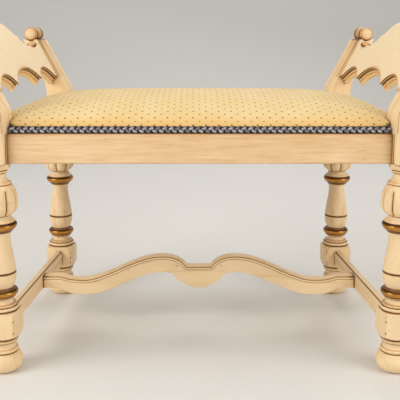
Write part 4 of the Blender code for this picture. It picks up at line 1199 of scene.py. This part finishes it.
def seat_path(out, ease, count):
    """The cord's closed path moved outwards: mitred corners rounded by parabolas, then even steps along its length.
    Returns the points, the unit normals and the length."""
    half = seat_corners()
    loop = np.vstack([half, (half * (-1.0, 1.0))[::-1]])
    into = unit(loop - np.roll(loop, 1, 0))
    away = np.roll(into, -1, 0)
    before, after = right_of(into), right_of(away)
    corners = loop + out * (before + after) / (1.0 + np.sum(before * after, axis=1))[:, None]
    bend = np.sign(into[:, 0] * away[:, 1] - into[:, 1] * away[:, 0])[:, None]
    size = np.maximum(ease + bend * out, ease / 6.0)
    blend = np.linspace(0.0, 1.0, 13)[:, None, None]
    start, stop = corners - into * size, corners + away * size
    rounded = (1.0 - blend) ** 2 * start + 2.0 * blend * (1.0 - blend) * corners + blend**2 * stop
    path = rounded.transpose(1, 0, 2).reshape(-1, 2)
    even, length = even_steps(np.vstack([path, path[:1]]), count, closed=True)
    return even, right_of(unit(np.roll(even, -1, 0) - np.roll(even, 1, 0))), length


def seat_rise(distance, reach, roll):
    """Share of the crown reached at a distance in from the front or rear edge: a quick rise that dies away over the
    roll, plus a parabola up to the middle."""
    inward = np.clip(distance, 0.0, reach)
    dome = 1.0 - (1.0 - inward / reach) ** 2
    return EDGE_SHARE * (1.0 - np.exp(-inward / roll)) + (1.0 - EDGE_SHARE) * dome


def seat_side_rise(distance):
    """Share of the crown reached at a distance in from a side edge: a steep wall, then a long slope."""
    inward = np.maximum(distance, 0.0)
    wall, slope = (1.0 - np.exp(-inward / fade) for fade in (SIDE_WALL_FADE, SIDE_SLOPE_FADE))
    return SIDE_WALL_SHARE * wall + (1.0 - SIDE_WALL_SHARE) * slope


def seat_edges(x, y):
    """Distances in from the nearer of the front and rear edges and from the nearer side edge, and half the depth."""
    corners = seat_corners()
    low, high = corners[:, 1].min() + SEAT_INSET, corners[:, 1].max() - SEAT_INSET
    half_wide = np.interp(y, corners[[2, 3], 1], corners[[2, 3], 0]) - SEAT_INSET
    return np.minimum(y - low, high - y), half_wide - np.abs(x), (high - low) / 2.0


def near_posts(x):
    """0 along the middle of the seat, rising to 1 beside the posts."""
    post = seat_corners()[0, 0]
    return ramp(np.abs(x), post - TIGHTENS_OVER, post)


def seat_height(x, y, shape):
    """Top of the seat: the foot beside the cord, plus the crown times its rise from the edges and from the sides. The
    roll of the edges is tighter beside the posts."""
    ahead, beside, reach = seat_edges(x, y)
    roll = shape.roll_over * (1.0 - TIGHTER_ROLL * near_posts(x))
    rise = seat_rise(ahead, reach, roll) * seat_side_rise(beside)
    return RAIL_HIGH + SEAT_FOOT + (shape.crown - SEAT_FOOT) * rise


def cushion_surface(shape):
    """The seat: a foot drawn in behind the cord, a wall as high as the dome stands at the outline, bulged where it is
    tall, then rings that turn from that outline into rounded rectangles while their height follows the dome."""

    def outline(out):
        return seat_path(out, 0.5 * CORNER_EASE, SEAT_STEPS)[:2]

    rings = []
    for out, rise in SEAT_FOOT_RINGS:
        rings.append(np.column_stack([outline(out)[0], np.full(SEAT_STEPS, RAIL_HIGH + rise)]))
    low = RAIL_HIGH + SEAT_FOOT
    foot, normal = outline(SEAT_WALL_OUT)
    inside, _ = outline(SEAT_WALL_TOP_OUT)
    tall = np.maximum(seat_height(*inside.T, shape) - low - 0.0030, 0.0002)
    bulge = SEAT_BULGE * ramp(tall, 0.001, 0.007)
    for share, swell in ((0.05, 0.3), (0.3, 0.85), (0.55, 1.0), (0.8, 0.8), (0.95, 0.4)):
        rings.append(np.column_stack([foot + normal * (bulge * swell)[:, None], low + share * tall]))
    rim, _ = outline(SEAT_RIM_OUT)
    middle = (rim.max(axis=0) + rim.min(axis=0)) / 2.0
    spread = np.abs(rim - middle) / (rim.max(axis=0) - middle)
    plain = middle + (rim - middle) / np.sum(spread**6.0, axis=1)[:, None] ** (1.0 / 6.0)
    for share in 1.0 - np.linspace(0.0, 0.99, SEAT_RINGS) ** 1.6:
        keep = share**10
        ring = middle + ((rim - middle) * keep + (plain - middle) * (1.0 - keep)) * share
        rings.append(np.column_stack([ring, seat_height(*ring.T, shape)]))
    return tube(np.array(rings), {})


def mesh_points(mesh):
    points = np.empty(len(mesh.vertices) * 3, np.float32)
    mesh.vertices.foreach_get("co", points)
    return points.reshape(-1, 3).astype(float)


def modified(piece, kind, **settings):
    """The mesh of an object with one modifier applied, as a new mesh."""
    made = set_values(piece.modifiers.new(kind.lower(), kind), **settings)
    mesh = bpy.data.meshes.new_from_object(piece.evaluated_get(bpy.context.evaluated_depsgraph_get()))
    piece.modifiers.remove(made)
    return mesh


def swollen(piece, swell):
    """Points of an object blown up by a cloth simulation: its foot is held, and no point moves further than the
    swell."""
    rest = mesh_points(piece.data)
    held = piece.vertex_groups.new(name="held")
    held.add(np.flatnonzero(rest[:, 2] < RAIL_HIGH + 2.0 * CORD_RADIUS).tolist(), 1.0, "REPLACE")
    cloth = piece.modifiers.new("cloth", "CLOTH")
    set_values(
        cloth.settings, vertex_group_mass=held.name, use_pressure=True, uniform_pressure_force=4.0,
        tension_stiffness=20.0, compression_stiffness=20.0, bending_stiffness=2.0,
    )
    cloth.settings.effector_weights.gravity = 0.0
    set_values(cloth.point_cache, frame_start=1, frame_end=CLOTH_FRAMES)
    for step in range(1, CLOTH_FRAMES + 1):
        bpy.context.scene.frame_set(step)
    graph = bpy.context.evaluated_depsgraph_get()
    moved = mesh_points(bpy.data.meshes.new_from_object(piece.evaluated_get(graph))) - rest
    piece.modifiers.clear()
    bpy.context.scene.frame_set(1)
    far = np.linalg.norm(moved, axis=1)[:, None]
    return rest + moved * np.minimum(1.0, swell / np.maximum(far, 1e-9))


def stuffed_mesh(surface, shape):
    """The cushion remeshed into even cells, swollen and divided once."""
    piece = bpy.data.objects.new("seat_stuffing", mesh_of("seat_stuffing", surface))
    bpy.context.scene.collection.objects.link(piece)
    piece.data = modified(piece, "REMESH", mode="VOXEL", voxel_size=STUFFING_CELL)
    piece.data = modified(piece, "SMOOTH", factor=0.5, iterations=3)
    piece.data.vertices.foreach_set("co", swollen(piece, shape.swell).astype(np.float32).ravel())
    mesh = modified(piece, "SUBSURF", levels=1, render_levels=1)
    mesh.name = "seat_cushion"
    bpy.data.objects.remove(piece)
    return mesh


def cloth_coordinates(mesh, shape):
    """Where each point lies on the flat cloth: its distance in from each edge, taken from its height on the steep
    rolls near the edges, moved outwards by the length that the dome adds between there and the middle. Beside the
    posts the tighter roll's own length is blended in."""
    points = mesh_points(mesh)
    ahead, beside, reach = seat_edges(points[:, 0], points[:, 1])
    steps = np.linspace(0.0, reach, 1200)
    full = shape.crown - SEAT_FOOT
    share = (points[:, 2] - RAIL_HIGH - SEAT_FOOT) / full

    def laid(axis, distance, rise, other):
        by_height = np.interp(share / np.maximum(other, 0.1), rise, steps) + full * np.minimum(share, 0.0)
        roll = ramp(distance, 0.012, 0.004)
        inward = distance + roll * (np.minimum(distance, by_height) - distance)
        slope = full * np.gradient(rise, steps)
        added = np.cumsum(np.sqrt(1.0 + slope**2) - 1.0) * (steps[1] - steps[0])
        left = added[-1] - np.interp(inward, steps, added)
        place = points[:, axis]
        return np.sign(place) * (np.abs(place) + distance - inward + left)

    from_side = seat_side_rise(steps)
    over_side = np.interp(beside, steps, from_side)
    wide, tight = (seat_rise(steps, reach, shape.roll_over * size) for size in (1.0, 1.0 - TIGHTER_ROLL))
    across = laid(0, beside, from_side, np.interp(ahead, steps, wide))
    along, by_post = (laid(1, ahead, rise, over_side) for rise in (wide, tight))
    along = along + (by_post - along) * near_posts(points[:, 0])
    return np.column_stack([across, along, np.zeros(len(points))])


def strand_surface(shape, phase, shade):
    """One strand of a three-strand plait along the cord's path: it swings up and down once in a pitch, and out and in
    twice, so that it goes over one neighbour and under the other. Its outer side is pale where it lies on top, and its
    edges and the stretches where it passes under are dark: painted shade in the gaps, with the navy of the cord."""
    rounds = round(seat_path(0.0, CORNER_EASE, 400)[2] / shape.plait_pitch)
    count = rounds * PLAIT_STEPS
    path, normal, length = seat_path(0.0, CORNER_EASE, count)
    swing = 2.0 * math.pi * rounds * np.arange(count)[:, None] / count + phase
    flat = np.column_stack([normal, np.zeros(count)])
    centre = np.column_stack([path, np.full(count, RAIL_HIGH + CLEARANCE + CORD_RADIUS)])
    centre = centre + SWING_UP * np.sin(swing) * (0.0, 0.0, 1.0) + SWING_OUT * np.sin(2.0 * swing) * flat
    beside = unit(np.cross(flat, unit(np.roll(centre, -1, 0) - np.roll(centre, 1, 0))))
    turns = full_turn(STRAND_TURN_STEPS)
    beside, outwards = beside[:, None] * np.cos(turns)[..., None], flat[:, None] * np.sin(turns)[..., None]
    rings = centre[:, None] + STRAND_TALL * beside + STRAND_DEEP * outwards
    fibre = stacked(np.arange(count)[:, None] * length / count, turns, 0.0)
    # Painted light and shade: pale where the strand faces out and lies on top, navy at its edges and where it passes
    # under.
    lit_face = ramp(np.abs(np.sin(turns)), 0.58, 0.94) * ramp(np.sin(2.0 * swing), 0.00, 0.60)
    return closed_loop(rings, {"tone": shade * lit_face, "fibre": fibre})


# Operators
class BenchLegs(Operator):
    """Turn the four legs"""

    bl_idname = "bench.legs"
    bl_label = "Legs"

    def execute(self, context):
        for end in ENDS:
            add_pair(f"leg_{end}", leg_surface(end, context.scene.bench_shape))
        return {"FINISHED"}


class BenchPosts(Operator):
    """Shape the four arm posts"""

    bl_idname = "bench.posts"
    bl_label = "Arm posts"

    def execute(self, context):
        for end in ENDS:
            add_pair(f"post_{end}", post_surface(end, context.scene.bench_shape))
        return {"FINISHED"}


class BenchScrolls(Operator):
    """Turn the scrolls on the post tops"""

    bl_idname = "bench.scrolls"
    bl_label = "Scrolls"

    def execute(self, context):
        for end in ENDS:
            add_pair(f"scroll_{end}", scroll_surface(end))
        return {"FINISHED"}


class BenchPanels(Operator):
    """Carve the two arm panels with their small rolls"""

    bl_idname = "bench.panels"
    bl_label = "Arm panels"

    def execute(self, context):
        add_pair("arm_panel", panel_surface().joined(bead_surface(-1.0)).joined(bead_surface(1.0)))
        return {"FINISHED"}


class BenchRails(Operator):
    """Shape the rails under the seat"""

    bl_idname = "bench.rails"
    bl_label = "Rails"

    def execute(self, context):
        for end in ENDS:
            add_painted(f"rail_{end}", end_rail_surface(end, context.scene.bench_shape))
        add_pair("rail", side_rail_surface(context.scene.bench_shape))
        return {"FINISHED"}


class BenchStretchers(Operator):
    """Shape the side stretchers and the serpentine cross stretcher"""

    bl_idname = "bench.stretchers"
    bl_label = "Stretchers"

    def execute(self, context):
        add_pair("stretcher", side_stretcher_surface(context.scene.bench_shape))
        add_painted("stretcher_cross", cross_stretcher_surface())
        return {"FINISHED"}


class BenchCushion(Operator):
    """Stuff and cover the seat"""

    bl_idname = "bench.cushion"
    bl_label = "Seat cushion"

    def execute(self, context):
        shape = context.scene.bench_shape
        mesh = stuffed_mesh(cushion_surface(shape), shape)
        add_mark(mesh, "cloth", cloth_coordinates(mesh, shape))
        up = mesh_points(mesh)[:, 2]
        # The low mark: painted shade on the cover near its foot, beside the cord.
        add_mark(mesh, "low", bell(np.maximum(up - RAIL_HIGH - SEAT_FOOT, 0.0), 0.0115))
        add_mark(mesh, "lining", ramp(up, RAIL_HIGH + 0.0045, RAIL_HIGH + 0.0015))
        cushion = add_piece("seat_cushion", mesh, seat_fabric(), ["seat_cover", "seat_foam"], crease=180.0)
        return {"FINISHED"}


class BenchCord(Operator):
    """Plait the cord round the foot of the seat"""

    bl_idname = "bench.cord"
    bl_label = "Plaited cord"

    def execute(self, context):
        shape = context.scene.bench_shape
        thirds = 2.0 * math.pi * np.arange(3) / 3.0
        first, second, third = (strand_surface(shape, *strand) for strand in zip(thirds, STRAND_SHADES))
        cord = first.joined(second).joined(third)
        add_piece("seat_cord", mesh_of("seat_cord", cord), plaited_cord(), ["seat_braid"], crease=180.0)
        return {"FINISHED"}


class BenchInside(Operator):
    """Finish the seat board, corner blocks and screws under the seat"""

    bl_idname = "bench.inside"
    bl_label = "Inside pieces"

    def execute(self, context):
        finishes = {
            "seat_board": bare_wood("plywood", (0.56, 0.39, 0.21, 1.0), (0.42, 0.27, 0.13, 1.0), (1.0, 1.0, 1.0)),
            "corner_block": bare_wood("beech", (0.55, 0.35, 0.19, 1.0), (0.40, 0.23, 0.11, 1.0), (1.0, 1.4, 1.4)),
            "screw": screw_steel(),
        }
        for name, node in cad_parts.items():
            for part, material in finishes.items():
                if part in name:
                    node.data.materials.clear()
                    node.data.materials.append(material)
        return {"FINISHED"}


class BenchStage(Operator):
    """Set the floor, the lights and the camera"""

    bl_idname = "bench.stage"
    bl_label = "Stage"

    def execute(self, context):
        add_floor(context.scene)
        add_lights(context.scene)
        add_camera(context.scene)
        return {"FINISHED"}


def add_floor(scene):
    """A level floor that curves up into a backdrop: a profile in depth and height, carried across."""
    turn = np.linspace(0.0, math.pi / 2.0, 24)
    level = np.column_stack([np.linspace(FLOOR_FRONT, BEND_Y, 20), np.zeros(20)])
    curve = np.column_stack([BEND_Y + BEND_RADIUS * np.sin(turn), BEND_RADIUS - BEND_RADIUS * np.cos(turn)])
    profile = np.vstack([level, curve[1:], [(BEND_Y + BEND_RADIUS, BACKDROP_HIGH)]])
    across = np.linspace(-FLOOR_HALF_WIDTH, FLOOR_HALF_WIDTH, 12)
    grid = stacked(across, profile[:, :1], profile[:, 1:])
    index, _ = ring_numbers(grid)
    quads = np.stack([index[:-1, :-1], index[:-1, 1:], index[1:, 1:], index[1:, :-1]], axis=-1).reshape(-1, 4)
    mesh = mesh_of("floor", Surface(listed(grid), quads, NO_TRIANGLES, {}))
    mesh.shade_smooth()
    made, tree, shader = new_material("floor")
    pale = scene.bench_colours.floor
    tone = blended(tree, noise(tree, object_place(tree), 3.0, 2.0), pale, tinted(pale, 0.98, 0.98, 0.98))
    set_inputs(tree, shader, {"Base Color": tone, "Roughness": 0.85})
    mesh.materials.append(made)
    floor = bpy.data.objects.new("floor", mesh)
    scene.collection.objects.link(floor)


def add_lights(scene):
    """A soft key from the left, a weaker fill from the right, low front, top and back lights and an even world."""
    world = bpy.data.worlds.new("studio")
    world.use_nodes = True
    tree = world.node_tree
    set_inputs(tree, tree.nodes["Background"], {"Color": WORLD_COLOUR, "Strength": 0.34})
    scene.world = world
    for name, place, size, power in LIGHTS:
        lamp = bpy.data.lights.new(name, "AREA")
        set_values(lamp, shape="SQUARE", size=size, energy=power, color=LIGHT_COLOUR)
        holder = bpy.data.objects.new(name, lamp)
        aim = Vector(LIGHT_AIM) - Vector(place)
        set_values(holder, location=place, rotation_euler=aim.to_track_quat("-Z", "Y").to_euler())
        scene.collection.objects.link(holder)


def add_camera(scene):
    """The photograph's view: from the front, a little above the seat, tilted slightly down."""
    lens = bpy.data.cameras.new("camera")
    set_values(lens, lens=66.32, sensor_width=36.0, shift_x=0.0125, shift_y=-0.20)
    camera = bpy.data.objects.new("camera", lens)
    camera.location = CAMERA_PLACE
    camera.rotation_euler = (math.radians(90.0 - CAMERA_TILT), 0.0, 0.0)
    scene.collection.objects.link(camera)
    scene.camera = camera
    scene.view_settings.view_transform = "Standard"


OPERATORS = (
    BenchLegs, BenchPosts, BenchScrolls, BenchPanels, BenchRails, BenchStretchers, BenchCushion, BenchCord, BenchInside,
    BenchStage,
)


class BenchPanel(Panel):
    """Sidebar list of the bench's pieces"""

    bl_idname = "VIEW3D_PT_bench"
    bl_label = "Vanity Bench"
    bl_space_type = "VIEW_3D"
    bl_region_type = "UI"
    bl_category = "Bench"

    def draw(self, context):
        layout = self.layout
        for settings in (context.scene.bench_shape, context.scene.bench_colours):
            column = layout.column()
            for name in settings.__annotations__:
                column.prop(settings, name)
        for operator in OPERATORS:
            layout.operator(operator.bl_idname)


CLASSES = (BenchShape, BenchColours) + OPERATORS + (BenchPanel,)


def register():
    for made in CLASSES:
        bpy.utils.register_class(made)
    bpy.types.Scene.bench_shape = PointerProperty(type=BenchShape)
    bpy.types.Scene.bench_colours = PointerProperty(type=BenchColours)


def unregister():
    del bpy.types.Scene.bench_colours
    del bpy.types.Scene.bench_shape
    for made in reversed(CLASSES):
        bpy.utils.unregister_class(made)


def main():
    register()
    for operator in OPERATORS:
        family, name = operator.bl_idname.split(".")
        getattr(getattr(bpy.ops, family), name)()


if __name__ == "__main__":
    main()
